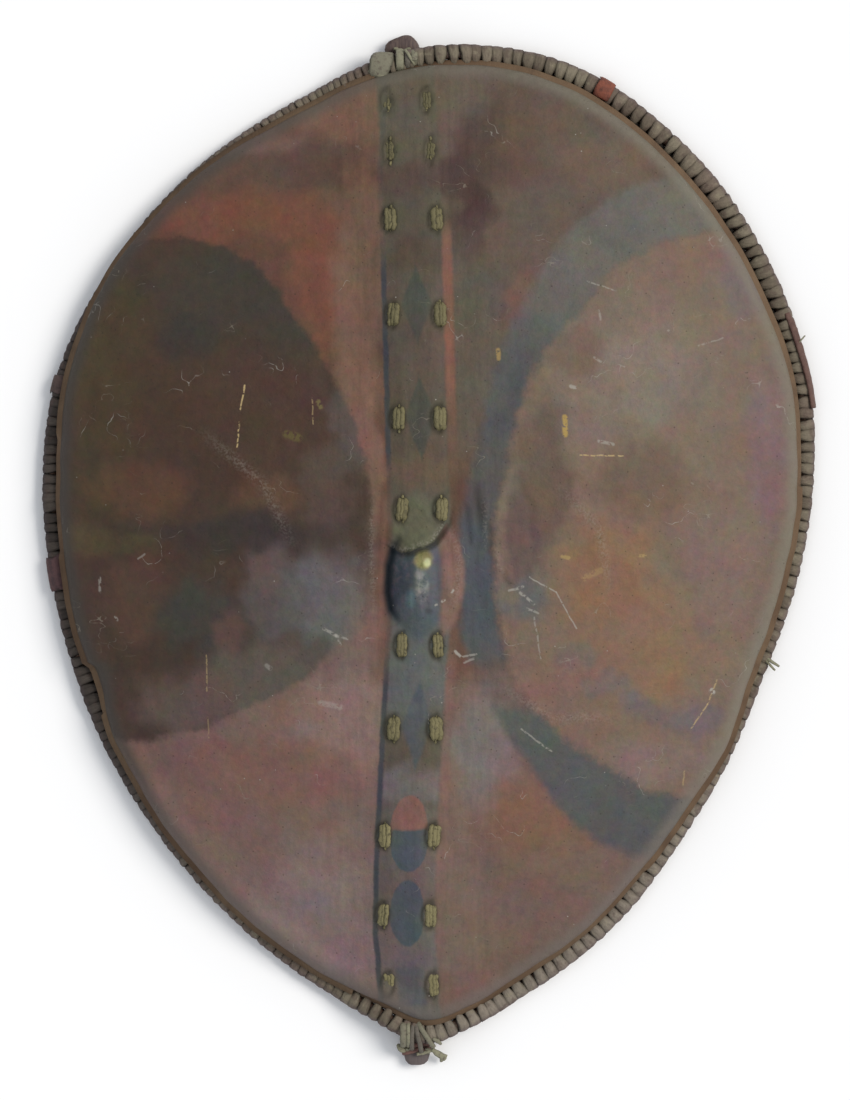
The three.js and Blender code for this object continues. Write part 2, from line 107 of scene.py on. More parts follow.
def curve_through(rows, column, place):
    """Smooth curve through rows of (place, values...), its slopes taken from the neighbours."""
    places = np.array([row[0] for row in rows], float)
    values = np.array([row[column] for row in rows], float)
    slopes = np.gradient(values, places)
    slopes[1:-1] = (values[2:] - values[:-2]) / (places[2:] - places[:-2])
    i = np.clip(np.searchsorted(places, place) - 1, 0, len(places) - 2)
    span = places[i + 1] - places[i]
    s = (place - places[i]) / span
    return (
        values[i] * (2 * s**3 - 3 * s**2 + 1) + slopes[i] * span * (s**3 - 2 * s**2 + s)
        + values[i + 1] * (3 * s**2 - 2 * s**3) + slopes[i + 1] * span * (s**3 - s**2)
    )


def smooth_step(s):
    s = np.clip(s, 0, 1)
    return s * s * (3 - 2 * s)


def hump(distance, half_width):
    """A smooth bump, 1 in the middle and almost nothing two half widths away."""
    return np.exp(-((np.asarray(distance) / half_width) ** 2))


def swell(x, y, wavelength, seed, waves=8):
    """A smooth uneven surface, mostly between -1 and 1, from a few crossing sine waves."""
    draw = np.random.default_rng(seed)
    angles = draw.uniform(0, math.tau, waves)
    lengths = wavelength * draw.uniform(0.6, 1.6, waves)
    shifts = draw.uniform(0, math.tau, waves)
    total = 0
    for angle, length, shift in zip(angles, lengths, shifts):
        total = total + np.sin(math.tau * (x * math.cos(angle) + y * math.sin(angle)) / length + shift)
    return total / math.sqrt(2 * waves)


WRAPPED_EDGE = [(b + turn, reach, inset) for turn in (-360, 0, 360) for b, reach, inset in RIM_EDGE]


def rim_reach(bearing):
    return curve_through(WRAPPED_EDGE, 1, np.asarray(bearing, float) % 360)


def shoulder_inset(bearing):
    bearing = np.asarray(bearing, float) % 360
    start, depth = EDGE_JOG
    jog = smooth_step((bearing - start) / 1.4) * (1 - smooth_step((bearing - start - 3) / 11))
    uneven = 0.8 * swell(bearing, 0 * bearing, 14, 3) + 0.35 * swell(bearing, 0 * bearing, 4.5, 4)
    seam = smooth_step(np.minimum(bearing, 360 - bearing) / 4)
    return curve_through(WRAPPED_EDGE, 2, bearing) + depth * jog + uneven * seam


def spine_x(y):
    return curve_through(SPINE, 1, y)


def slant(bearing):
    """How much longer a width across the rim is along its bearing."""
    bearing = np.asarray(bearing, float)
    change = (rim_reach(bearing + 1) - rim_reach(bearing - 1)) / math.radians(2)
    return np.hypot(1, change / rim_reach(bearing))


def from_stave_end(bearing):
    bearing = np.asarray(bearing, float)
    turns = [np.abs((bearing - end + 540) % 360 - 180) for end in STAVE_END_BEARINGS]
    return np.minimum(*turns)


def rim_lift(bearing):
    turn = from_stave_end(bearing)
    sideways = rim_reach(bearing) * np.sin(np.radians(np.minimum(turn, 90)))
    return RIM_LIFT * smooth_step((LIFT_FOOT - sideways) / (LIFT_FOOT - LIFT_FLAT))


def shoulder_rise(bearing):
    low = hump(from_stave_end(bearing), SHOULDER_LOW_SPREAD)
    return SHOULDER_RISE + (SHOULDER_RISE_AT_ENDS - SHOULDER_RISE) * low


def rim_frame(bearing):
    """Outer edge of the rim in plan, and its outward direction, as two (..., 2) arrays."""
    bearing = np.asarray(bearing, float)

    def edge(b):
        angle = np.radians(b)
        return GRIP + rim_reach(b)[..., None] * np.stack([np.cos(angle), np.sin(angle)], -1)

    run = edge(bearing + 0.5) - edge(bearing - 0.5)
    run /= np.linalg.norm(run, axis=-1, keepdims=True)
    return edge(bearing), np.stack([run[..., 1], -run[..., 0]], -1)


def rim_point(bearing, across, height):
    """A point by its place across the rim, 0 at the outer edge, and height over its underside."""
    edge, outward = rim_frame(bearing)
    plan = edge + np.asarray(across, float)[..., None] * outward
    return np.concatenate([plan, (rim_lift(bearing) + height)[..., None]], -1)


# ---- the hide's shape ----------------------------------------------------------------------------


def boss_height(x, y):
    """The mound over the hand grip."""
    across = (x - BOSS["x"]) / (BOSS["half_width"] + 2)
    along = (y - BOSS["y"]) / (BOSS["half_length"] + 3)
    out = across**2 + along**2
    return BOSS["height"] * np.clip(1 - out, 0, 1) ** 1.35


def shoulder_point(bearing):
    """Where the dome ends and the shoulder starts: distance from the grip, and height."""
    distance = rim_reach(bearing) - (shoulder_inset(bearing) + SHOULDER_WIDTH) * slant(bearing)
    return distance, rim_lift(bearing) + FLANGE_TOP + shoulder_rise(bearing)


def dome_height(bearing, distance):
    edge, low = shoulder_point(bearing)
    return CREST_HEIGHT + (low - CREST_HEIGHT) * (distance / edge) ** DOME_ROUNDNESS


def polar(x, y):
    bearing = np.degrees(np.arctan2(y - GRIP[1], x - GRIP[0])) % 360
    return bearing, np.hypot(x - GRIP[0], y - GRIP[1])


def beside_stave(x, y):
    return x - spine_x(np.clip(y, SPINE[0][0], SPINE[-1][0]))


def near_line(x, y, points):
    """Distance to a line through a few points, positive on its right, and the share along it."""
    best = np.full(np.shape(x), 1e9)
    share = np.zeros(np.shape(x))
    right = np.ones(np.shape(x))
    count = len(points) - 1
    for i, ((ax, ay), (bx, by)) in enumerate(zip(points, points[1:])):
        run_x, run_y = bx - ax, by - ay
        t = np.clip(((x - ax) * run_x + (y - ay) * run_y) / (run_x**2 + run_y**2), 0, 1)
        away = np.hypot(x - ax - t * run_x, y - ay - t * run_y)
        nearer = away < best
        best = np.where(nearer, away, best)
        share = np.where(nearer, (i + t) / count, share)
        right = np.where(nearer, np.sign(run_y * (x - ax) - run_x * (y - ay) + 1e-9), right)
    return best * right, share


def fading_at_ends(share):
    """1 along most of a line, falling to 0 at both its ends."""
    return np.clip(5 * share * (1 - share), 0, 1)


STITCHES = [(float(spine_x(row[0])) + side * row[1], row) for row in LASHINGS for side in (-1, 1)]
# Hollows and creases: depth, half width, how much painted shade darkens it, and the line.
CREASES = [
    (2.6, 19, 0.00, [(-78, 300), (-62, 180), (-42, 70)]),
    (2.6, 19, 0.00, [(96, 200), (54, 125), (25, 70)]),
    (4.6, 3.2, 1.00, [(-27, 14), (-33, 2), (-37.5, -14), (-39, -38), (-35.5, -54), (-29, -66)]),
    (1.5, 3.4, 0.30, [(9, 6), (8, -14), (10, -34), (15, -54)]),
    (1.7, 3.4, 0.35, [(38, 62), (43, 34), (46, 10)]),
    (1.4, 2.4, 0.40, [(50, 28), (53, 12), (51, -6)]),
    (1.2, 2.2, 0.20, [(30, 44), (33, 20), (35, 2)]),
    (1.4, 2.6, 0.30, [(64, -16), (66, -27), (73, -33)]),
    (1.0, 3.0, 0.15, [(-44, 60), (-47, 20), (-49, -30)]),
    (0.9, 4.0, 0.00, [(70, 70), (88, 40), (90, 0), (80, -40)]),
    (0.9, 2.0, 0.30, [(-6, -54), (2, -55.5)]),
    (1.1, 6.0, 0.00, [(-120, 250), (-96, 190), (-90, 120)]),
    (1.0, 7.0, 0.00, [(120, 330), (140, 280), (190, 250)]),
    (1.0, 6.0, 0.00, [(-60, -150), (-110, -190), (-180, -200)]),
]
# Low folds that stand up: height, half width and the line.
FOLDS = [
    (3.0, 7.5, [(18, 24), (23, 4), (25, -14), (23, -38), (17, -60)]),
    (1.3, 4.5, [(48, 52), (48, 20), (49, -2)]),
    (1.2, 5.0, [(-52, 50), (-53, 0), (-50, -60)]),
    (0.9, 3.0, [(58, 4), (60, -14), (68, -24)]),
    (1.2, 9.0, [(110, 60), (150, 20), (160, -40)]),
    (1.2, 10.0, [(-210, 110), (-150, 60), (-120, 0)]),
    (1.0, 9.0, [(60, -120), (110, -150), (170, -150)]),
]
FLAP_EDGE = [
    (17, 38), (13.5, 25), (8, 16), (2.5, 8), (-5, 4), (-12, 2.5), (-18, 0), (-26, -1.5), (-34, 2),
]
FLAP_MIDDLE = (-9, 14)


def flap_parts(x, y):
    """The hanging fold over the boss: distance above its edge, and how much of it there is."""
    above, _ = near_line(x, y, FLAP_EDGE)
    there = hump(np.hypot((x - FLAP_MIDDLE[0]) / 27, (y - FLAP_MIDDLE[1]) / 30) ** 2, 1)
    return above, there


def flap_share(x, y):
    above, there = flap_parts(x, y)
    return np.minimum(1, 1.6 * there) * smooth_step((above + 2) / 3)


def relief(x, y):
    """Height over the plain dome of everything that pushes, pulls and wrinkles the hide."""
    side = beside_stave(x, y)
    near_boss = hump(y - BOSS["y"], 75)
    height = 2.8 * np.exp(-((side / 25) ** 4)) * (1 - 0.75 * near_boss)
    height = height + 1.1 * swell(x, y, 130, 11) + 0.5 * swell(x, y, 48, 12)
    height = height + 0.16 * swell(x, y, 17, 13) + 0.05 * swell(x, y, 7, 14)
    for depth, half_width, _, points in CREASES:
        away, share = near_line(x, y, points)
        fading = np.sqrt(fading_at_ends(share))
        height = height - depth * hump(away, half_width) * fading
    for rise, half_width, points in FOLDS:
        away, share = near_line(x, y, points)
        height = height + rise * hump(away, half_width) * np.clip(5 * share * (1 - share), 0, 1)
    for sx, (sy, _, breadth, proud, _) in STITCHES:
        depth = 2.9 if proud < 0.3 else 1.5
        height = height - depth * hump(np.hypot((x - sx) / (breadth + 3.2), (y - sy) / 13), 1)
        for end in (-1, 1):
            hole = np.hypot(x - sx, y - sy - end * (STITCH_HALF_LENGTH + 2))
            height = height - 1.5 * hump(hole, 2.8)
    above, there = flap_parts(x, y)
    sheet = np.where(above > 0, np.exp(-np.maximum(above, 0) / 17), np.exp(-((above / 1.2) ** 2)))
    rumple = 0.9 * swell(x, y, 8, 23) * smooth_step(above / 4 + 0.5)
    height = height + there * (5.0 * sheet + rumple - 3.2 * hump(above + 3.2, 2.6))
    height = height + 2.0 * hump(np.hypot((x + 5.9) / 5.5, (y + 8.5) / 6.5), 1)
    on_boss = boss_height(x, y) / BOSS["height"]
    return height + on_boss * (0.5 * swell(0.5 * x, y, 7, 22) + 0.4 * swell(x, 0.3 * y, 6, 24))


def face_height(x, y):
    x = np.asarray(x, float)
    y = np.asarray(y, float)
    bearing, distance = polar(x, y)
    return dome_height(bearing, distance) + boss_height(x, y) + relief(x, y)


def under_hide(x, y):
    """Height of the hide's underside, without the boss."""
    bearing, distance = polar(np.asarray(x, float), np.asarray(y, float))
    edge, low = shoulder_point(bearing)
    part = distance / edge
    steep = DOME_ROUNDNESS * (CREST_HEIGHT - low) * part ** (DOME_ROUNDNESS - 1) / edge
    return dome_height(bearing, distance) - HIDE_THICKNESS * np.hypot(1, steep)


def recess_shade(x, y):
    """How much painted shade darkens the creases, the stitches' surrounds and holes, and the crease under
    the flap.
    """
    recess_dark = np.zeros(np.shape(x))
    for sx, (sy, _, breadth, proud, _) in STITCHES:
        ring = np.hypot((x - sx + 1.8) / (breadth + 2.0), (y - sy) / 12.5)
        strength = 0.8 if proud > 0.3 else 0.55
        recess_dark = np.maximum(recess_dark, strength * hump(ring - 0.85, 0.24))
        if proud < 0.3:
            recess_dark = np.maximum(recess_dark, 0.8 * hump(np.hypot((x - sx - 2) / 4.5, (y - sy) / 6), 1))
        for end in (-1, 1):
            hole = np.hypot(x - sx, y - sy - end * (STITCH_HALF_LENGTH + 2.5))
            recess_dark = np.maximum(recess_dark, 0.8 * hump(hole, 2.6))
    for _, half_width, amount, points in CREASES:
        if amount:
            away, share = near_line(x, y, points)
            worn = np.clip(6 * share * (1 - share), 0, 1)
            recess_dark = np.maximum(recess_dark, amount * hump(away, half_width * 1.35) * worn)
    above, there = flap_parts(x, y)
    return np.maximum(recess_dark, np.minimum(1, 1.3 * there) * 0.85 * hump(above + 2.8, 2.6))


def halo(x, y):
    """Ochre dust rubbed off the stitches on to the hide about them."""
    dust = np.zeros(np.shape(x))
    for sx, (sy, _, breadth, _, _) in STITCHES:
        dust = np.maximum(dust, 0.8 * hump(np.hypot((x - sx) / (breadth + 6), (y - sy) / 16), 1))
    above, there = flap_parts(x, y)
    return np.maximum(dust, 0.75 * there * smooth_step(above / 5 + 0.5))


def wear(x, y):
    """Where high places are rubbed pale: the fold by the boss, the other folds, and the flap's edge."""
    above, there = flap_parts(x, y)
    rub = there * hump(above - 1.5, 1.8) * 0.8
    for _, half_width, points in FOLDS:
        away, share = near_line(x, y, points)
        rub = np.maximum(rub, 0.4 * hump(away, 0.45 * half_width) * fading_at_ends(share))
    return rub


# ---- mesh helpers --------------------------------------------------------------------------------


def quad_grid(rows, columns, start=0, around=True):
    """Quads between rows of points; around joins each row's last point to its first."""
    wide = columns if around else columns - 1
    row, column = np.meshgrid(np.arange(rows - 1), np.arange(wide), indexing="ij")
    here = start + row * columns + column
    right = start + row * columns + (column + 1) % columns
    return np.stack([here, right, right + columns, here + columns], -1).reshape(-1, 4).tolist()


def add_object(name, data):
    made = bpy.data.objects.new(name, data)
    bpy.context.scene.collection.objects.link(made)
    return made


def make_mesh(name, points, faces, attributes=None):
    """A smooth-shaded mesh object in millimetres, with a number or a colour for each point."""
    mesh = bpy.data.meshes.new(name)
    mesh.from_pydata((np.asarray(points, float) * MM).tolist(), [], faces)
    mesh.shade_smooth()
    for key, values in (attributes or {}).items():
        values = np.asarray(values, np.float32)
        if values.ndim == 2:
            layer = mesh.attributes.new(key, "FLOAT_COLOR", "POINT")
            opaque = np.ones((len(values), 1), np.float32)
            layer.data.foreach_set("color", np.hstack([values, opaque]).ravel())
        else:
            layer = mesh.attributes.new(key, "FLOAT", "POINT")
            layer.data.foreach_set("value", values)
    mesh.validate()
    return add_object(name, mesh)


def turn_outwards(piece):
    """Flips a closed mesh whose faces point in."""
    mesh = piece.data
    mesh.calc_loop_triangles()
    co = np.zeros(len(mesh.vertices) * 3)
    mesh.vertices.foreach_get("co", co)
    co = co.reshape(-1, 3)
    corners = np.zeros(len(mesh.loop_triangles) * 3, np.int32)
    mesh.loop_triangles.foreach_get("vertices", corners)
    a, b, c = (co[corners.reshape(-1, 3)[:, k]] for k in range(3))
    if np.einsum("ij,ij->i", a, np.cross(b, c)).sum() < 0:
        mesh.flip_normals()
    return piece


class Bundle:
    """Closed strips of thong gathered into one mesh."""

    def __init__(self, seed):
        self.draw = np.random.default_rng(seed)
        self.points = []
        self.faces = []
        self.along = []
        self.edge = []
        self.tone = []

    def ribbon(self, line, facing, half_width, thickness, steps=5, crown=0.35, tone=None):
        """A strip along a smooth line, its top turned to facing.

        half_width is one number, or one for each point of the line, and so is facing's vector.
        """
        line = np.asarray(line, float)
        count = len(line)
        chord = np.concatenate([[0], np.cumsum(np.linalg.norm(np.diff(line, axis=0), axis=1))])
        widths = np.broadcast_to(np.asarray(half_width, float), (count,))
        facings = np.broadcast_to(np.asarray(facing, float), (count, 3))
        places = np.interp(np.linspace(0, count - 1, (count - 1) * steps + 1), range(count), chord)
        rows = [(c, *p, w, *f) for c, p, w, f in zip(chord, line, widths, facings)]
        middle = np.stack([curve_through(rows, k, places) for k in (1, 2, 3)], -1)
        width = np.interp(places, chord, widths)
        up = np.stack([np.interp(places, chord, facings[:, k]) for k in range(3)], -1)
        run = np.gradient(middle, axis=0)
        run /= np.linalg.norm(run, axis=1, keepdims=True)
        side = np.cross(run, up)
        side /= np.linalg.norm(side, axis=1, keepdims=True)
        up = np.cross(side, run)
        outline = [
            (-0.92, -1.0), (-1.0, -0.45), (-0.8, 0.0), (-0.3, crown), (0.3, crown), (0.8, 0.0),
            (1.0, -0.45), (0.92, -1.0),
        ]
        start = len(self.points)
        size = len(outline)
        for p, w, s, u in zip(middle, width, side, up):
            self.points.extend(p + a * w * s + h * thickness * u for a, h in outline)
        shade = self.draw.uniform() if tone is None else tone
        total = len(places)
        self.faces.extend(quad_grid(total, size, start))
        self.faces.append(list(range(start, start + size))[::-1])
        last = start + (total - 1) * size
        self.faces.append(list(range(last, last + size)))
        self.along.extend(np.repeat(places, size))
        self.edge.extend([a for a, _ in outline] * total)
        self.tone.extend([shade] * (total * size))

    def piece(self, name, uneven=0.2):
        """The mesh, its points pushed about by up to so many millimetres."""
        points = np.array(self.points)
        x, y, z = points.T
        push = [swell(y, z, 6, 1), swell(x, z, 6, 2), swell(x, y, 6, 3)]
        points = points + uneven * np.stack(push, -1)
        attributes = {"along": self.along, "edge": self.edge, "tone": self.tone}
        return make_mesh(name, points, self.faces, attributes)


# ---- node trees ----------------------------------------------------------------------------------


class Value:
    """A socket, so that sums on it are written as plain arithmetic."""

    def __init__(self, tree, socket):
        self.tree = tree
        self.socket = socket

    def _sum(self, operation, *values):
        return self.tree.node("ShaderNodeMath", {"operation": operation}, dict(enumerate(values)))

    def __add__(self, other):
        return self._sum("ADD", self, other)

    def __sub__(self, other):
        return self._sum("SUBTRACT", self, other)

    def __rsub__(self, other):
        return self._sum("SUBTRACT", other, self)

    def __mul__(self, other):
        return self._sum("MULTIPLY", self, other)

    def __truediv__(self, other):
        return self._sum("DIVIDE", self, other)

    def __abs__(self):
        return self._sum("ABSOLUTE", self)

    __radd__ = __add__
    __rmul__ = __mul__

    def root(self):
        return self._sum("SQRT", self)

    def lowest(self, other):
        return self._sum("MINIMUM", self, other)

    def highest(self, other):
        return self._sum("MAXIMUM", self, other)

    def rise(self, low, high):
        """0 below low and 1 above high, smoothly; falls where low is the greater."""
        limits = {"Value": self, "From Min": low, "From Max": high}
        return self.tree.node("ShaderNodeMapRange", {"interpolation_type": "SMOOTHSTEP"}, limits)

    def peak(self, middle, half_width, soft):
        """1 within half_width of middle, falling to 0 over soft."""
        return abs(self - middle).rise(half_width + soft / 2, half_width - soft / 2)


class Tree:
    """A node tree being written."""

    def __init__(self, tree):
        self.tree = tree

    def node(self, kind, settings=None, inputs=None, output=0):
        """Any node: its settings first, then the values or links of its sockets."""
        made = self.tree.nodes.new(kind)
        for name, value in (settings or {}).items():
            setattr(made, name, value)
        for name, value in (inputs or {}).items():
            if isinstance(value, Value):
                self.tree.links.new(value.socket, made.inputs[name])
            else:
                made.inputs[name].default_value = value
        return Value(self, made.outputs[output]) if len(made.outputs) else None


class Finish(Tree):
    """A material, worked out from the place on the object in millimetres."""

    def __init__(self, name):
        self.material = bpy.data.materials.new(name)
        self.material.use_nodes = True
        super().__init__(self.material.node_tree)
        self.tree.nodes.clear()
        self.place = self.node("ShaderNodeTexCoord", output="Object")
        split = {0: self.place}
        self.x, self.y = (
            self.node("ShaderNodeSeparateXYZ", None, split, axis) * (1 / MM) for axis in "XY"
        )

    def attribute(self, name):
        return self.node("ShaderNodeAttribute", {"attribute_name": name}, None, "Fac")

    def paint_attribute(self, name):
        return self.node("ShaderNodeAttribute", {"attribute_name": name}, None, "Color")

    def noise(self, size, detail=3.0, roughness=0.55, vector=None, output="Fac"):
        """Clouds about size millimetres across, from 0 to 1."""
        values = {
            "Vector": vector or self.place, "Scale": 1 / (size * MM), "Detail": detail,
            "Roughness": roughness,
        }
        return self.node("ShaderNodeTexNoise", None, values, output)

    def stretched(self, across, along, upward=None):
        """The place with its X, Y and Z squeezed, so that clouds come out long."""
        factors = (1 / across, 1 / along, 1 / (upward or across))
        return self.node("ShaderNodeVectorMath", {"operation": "MULTIPLY"}, {0: self.place, 1: factors})

    def mix(self, factor, first, second):
        """The first colour where factor is 0, the second where it is 1."""
        colours = {0: factor, 6: _opaque(first), 7: _opaque(second)}
        settings = {"data_type": "RGBA", "clamp_factor": True}
        return self.node("ShaderNodeMix", settings, colours, 2)

    def tinted(self, colour, size, strength):
        """The colour pushed about in hue and depth by clouds about size millimetres across."""
        clouds = self.noise(size, 4, 0.6, output="Color")
        spread = {0: clouds, 1: (strength,) * 3, 2: (1 - strength / 2,) * 3}
        factor = self.node("ShaderNodeVectorMath", {"operation": "MULTIPLY_ADD"}, spread)
        return self.node("ShaderNodeVectorMath", {"operation": "MULTIPLY"}, {0: colour, 1: factor})

    def shade(self, factor, colour):
        """The colour times a number."""
        grey = self.node("ShaderNodeCombineXYZ", None, {0: factor, 1: factor, 2: factor})
        return self.node("ShaderNodeVectorMath", {"operation": "MULTIPLY"}, {0: colour, 1: grey})

    def finish(self, colour, roughness, height=None, depth=0.3, specular=0.3, **constants):
        """Joins colour, roughness and height to the surface. Depth is in millimetres."""
        inputs = {"Base Color": _opaque(colour), "Roughness": roughness, "Specular IOR Level": specular}
        inputs.update(constants)
        if height is not None:
            bump = {"Height": height, "Distance": depth * MM, "Strength": 1.0}
            inputs["Normal"] = self.node("ShaderNodeBump", None, bump)
        surface = self.node("ShaderNodeBsdfPrincipled", None, inputs)
        self.node("ShaderNodeOutputMaterial", None, {"Surface": surface})
        return self.material


def _opaque(colour):
    return colour if isinstance(colour, Value) else (*colour, 1.0)


# ---- paint on the hide ---------------------------------------------------------------------------

EARTH = (0.100, 0.052, 0.035)
TAUPE = (0.155, 0.108, 0.080)
DUSK = (0.056, 0.036, 0.026)
STRIP_BROWN = (0.082, 0.066, 0.051)
INK = (0.062, 0.070, 0.076)
SMOKE = (0.118, 0.114, 0.099)
BLUE_BLACK = (0.036, 0.044, 0.052)
CHALK = (0.34, 0.32, 0.28)
STRAW = (0.42, 0.31, 0.15)

# Soft patches of paint: middle, half sizes, colour and strength. On the open field:
FIELD = [
    ((-110, -260), (230, 190), (0.165, 0.103, 0.086), 1.0),
    ((110, 300), (190, 210), (0.102, 0.075, 0.057), 1.0),
    ((110, -250), (130, 120), (0.142, 0.093, 0.073), 1.0),
    ((-70, 400), (48, 40), (0.165, 0.094, 0.062), 0.9),
    ((-130, 345), (100, 32), (0.090, 0.055, 0.042), 0.85),
    ((-75, 338), (50, 16), (0.078, 0.042, 0.032), 0.6),
    ((-165, 300), (105, 24), (0.142, 0.060, 0.038), 0.9),
    ((-98, 240), (30, 62), (0.148, 0.058, 0.036), 0.85),
    ((-62, 205), (24, 150), (0.150, 0.087, 0.060), 0.85),
    ((-55, 60), (14, 90), (0.158, 0.092, 0.070), 0.7),
    ((-162, 372), (50, 14), (0.160, 0.100, 0.080), 0.6),
    ((-70, -60), (30, 75), (0.170, 0.104, 0.090), 0.8),
    ((-75, -150), (50, 45), (0.205, 0.136, 0.115), 0.8),
    ((-100, -340), (80, 80), (0.190, 0.138, 0.128), 0.85),
    ((-155, -200), (85, 34), (0.172, 0.088, 0.070), 0.75),
    ((-200, -250), (60, 60), (0.170, 0.104, 0.088), 0.5),
    ((32, 325), (22, 62), (0.052, 0.026, 0.024), 0.9),
    ((15, 332), (32, 16), (0.060, 0.036, 0.030), 0.7),
    ((62, 365), (40, 42), (0.066, 0.045, 0.035), 0.8),
    ((92, 372), (34, 36), (0.118, 0.072, 0.052), 0.6),
    ((155, 350), (48, 28), (0.128, 0.088, 0.062), 0.7),
    ((36, 180), (24, 115), (0.090, 0.075, 0.058), 0.8),
    ((80, 225), (18, 20), (0.138, 0.083, 0.058), 0.7),
    ((45, -175), (34, 62), (0.160, 0.130, 0.120), 0.9),
    ((105, -245), (62, 46), (0.168, 0.090, 0.060), 0.85),
    ((60, -335), (75, 60), (0.140, 0.092, 0.074), 0.8),
    ((150, -285), (45, 30), (0.128, 0.094, 0.076), 0.6),
]
# Inside the dark oval on the left:
OVAL_INSIDE = [
    ((-160, 215), (82, 72), (0.046, 0.039, 0.030), 0.85),
    ((-290, 150), (42, 115), (0.062, 0.044, 0.024), 0.85),
    ((-175, 120), (100, 75), (0.062, 0.036, 0.024), 0.75),
    ((-215, 190), (30, 24), (0.036, 0.032, 0.028), 0.6),
    ((-265, 55), (48, 22), (0.098, 0.050, 0.029), 0.85),
    ((-145, 52), (27, 18), (0.102, 0.055, 0.034), 0.75),
    ((-95, 50), (26, 40), (0.088, 0.056, 0.046), 0.7),
    ((-170, 12), (90, 19), (0.040, 0.031, 0.027), 0.9),
    ((-295, 8), (48, 14), (0.076, 0.058, 0.030), 0.7),
    ((-265, -45), (38, 38), (0.084, 0.047, 0.034), 0.8),
    ((-70, 108), (24, 40), (0.084, 0.071, 0.060), 0.75),
    ((-90, -50), (42, 50), (0.110, 0.101, 0.100), 1.0),
    ((-140, -42), (34, 44), (0.092, 0.078, 0.071), 0.85),
    ((-205, -60), (40, 34), (0.048, 0.046, 0.039), 0.85),
    ((-150, -120), (60, 40), (0.094, 0.077, 0.064), 0.95),
    ((-218, -138), (48, 30), (0.108, 0.076, 0.063), 0.85),
    ((-148, -22), (16, 20), (0.118, 0.072, 0.060), 0.5),
    ((-182, -72), (14, 26), (0.112, 0.068, 0.054), 0.6),
]
# Inside the bow on the right:
BOW_INSIDE = [
    ((175, 150), (82, 92), (0.160, 0.123, 0.095), 0.85),
    ((192, 160), (42, 46), (0.182, 0.148, 0.118), 0.6),
    ((100, 60), (26, 75), (0.104, 0.068, 0.051), 0.85),
    ((80, 15), (18, 48), (0.094, 0.064, 0.058), 0.8),
    ((130, 175), (26, 28), (0.128, 0.085, 0.062), 0.7),
    ((155, -20), (46, 46), (0.190, 0.106, 0.060), 0.9),
    ((205, -80), (34, 52), (0.195, 0.115, 0.070), 0.85),
    ((158, -98), (38, 30), (0.178, 0.098, 0.066), 0.75),
    ((190, 62), (44, 36), (0.122, 0.078, 0.051), 0.7),
    ((282, 245), (20, 42), (0.150, 0.104, 0.104), 0.8),
    ((305, 90), (24, 80), (0.158, 0.103, 0.098), 0.85),
    ((262, -15), (34, 52), (0.165, 0.110, 0.092), 0.7),
    ((115, -138), (66, 42), (0.165, 0.098, 0.074), 0.85),
    ((205, -190), (60, 22), (0.168, 0.118, 0.104), 0.75),
    ((130, -95), (17, 13), (0.128, 0.098, 0.090), 0.7),
    ((156, -121), (20, 12), (0.128, 0.098, 0.090), 0.75),
    ((192, -142), (26, 12), (0.124, 0.100, 0.096), 0.85),
    ((238, -152), (28, 14), (0.128, 0.102, 0.098), 0.85),
    ((84, -45), (22, 22), (0.102, 0.098, 0.098), 0.85),
]
# Along the strip down the middle, measured from the stave's line:
STRIP = [
    ((0, 400), (40, 50), (0.092, 0.084, 0.058), 0.9),
    ((0, 330), (40, 18), (0.076, 0.048, 0.038), 0.85),
    ((0, 296), (40, 22), (0.070, 0.063, 0.046), 0.8),
    ((0, 263), (40, 18), (0.074, 0.048, 0.034), 0.8),
    ((0, 165), (40, 24), (0.092, 0.068, 0.051), 0.8),
    ((3, 70), (34, 24), (0.108, 0.074, 0.052), 0.9),
    ((0, 22), (34, 26), (0.104, 0.101, 0.068), 0.95),
    ((0, -105), (44, 60), (0.096, 0.100, 0.101), 1.0),
    ((0, -208), (44, 20), (0.138, 0.118, 0.115), 0.9),
    ((0, -270), (44, 50), (0.122, 0.094, 0.085), 0.9),
    ((0, -370), (44, 55), (0.130, 0.103, 0.098), 0.9),
    ((0, -425), (44, 18), (0.110, 0.104, 0.100), 0.8),
]
# Edges of the painted shapes, each going round so that the shape is on its right.
OVAL_EDGE = [
    (-300, 262), (-258, 280), (-217, 281), (-180, 269), (-150, 249), (-116, 206), (-90, 163),
    (-68, 118), (-54, 60), (-51, 0), (-59, -50), (-80, -84), (-112, -114), (-160, -140),
    (-210, -162), (-250, -172), (-300, -172),
]
BOW_OUTER = [
    (320, -290), (240, -284), (189, -275), (148, -260), (108, -222), (72, -168),
    (32, -96), (26, -30), (28, 30), (42, 90), (60, 168), (88, 230), (122, 283), (160, 314),
    (205, 333), (320, 345),
]
BOW_INNER = [
    (330, -235), (234, -227), (190, -213), (144, -186), (108, -158), (78, -122), (62, -75),
    (55, -15), (59, 35), (70, 88), (82, 140), (104, 180), (138, 220), (165, 252), (205, 276),
    (260, 288), (330, 292),
]


def wash(x, y, base, patches, seed):
    """Colours of soft patches laid one over another."""
    wx = x + 7 * swell(x, y, 60, seed) + 4 * swell(x, y, 21, seed + 1)
    wy = y + 7 * swell(x, y, 60, seed + 2) + 4 * swell(x, y, 21, seed + 3)
    colour = np.broadcast_to(np.array(base), (*np.shape(x), 3))
    for middle, half_sizes, paint, strength in patches:
        out = np.hypot((wx - middle[0]) / half_sizes[0], (wy - middle[1]) / half_sizes[1])
        amount = strength * smooth_step((1.3 - out) / 0.75)
        colour = colour + amount[..., None] * (np.array(paint) - colour)
    return colour


def rounded(points, per=4):
    """A smooth line through the points."""
    rows = [(i, *point) for i, point in enumerate(points)]
    places = np.linspace(0, len(points) - 1, (len(points) - 1) * per + 1)
    return list(zip(curve_through(rows, 1, places), curve_through(rows, 2, places)))


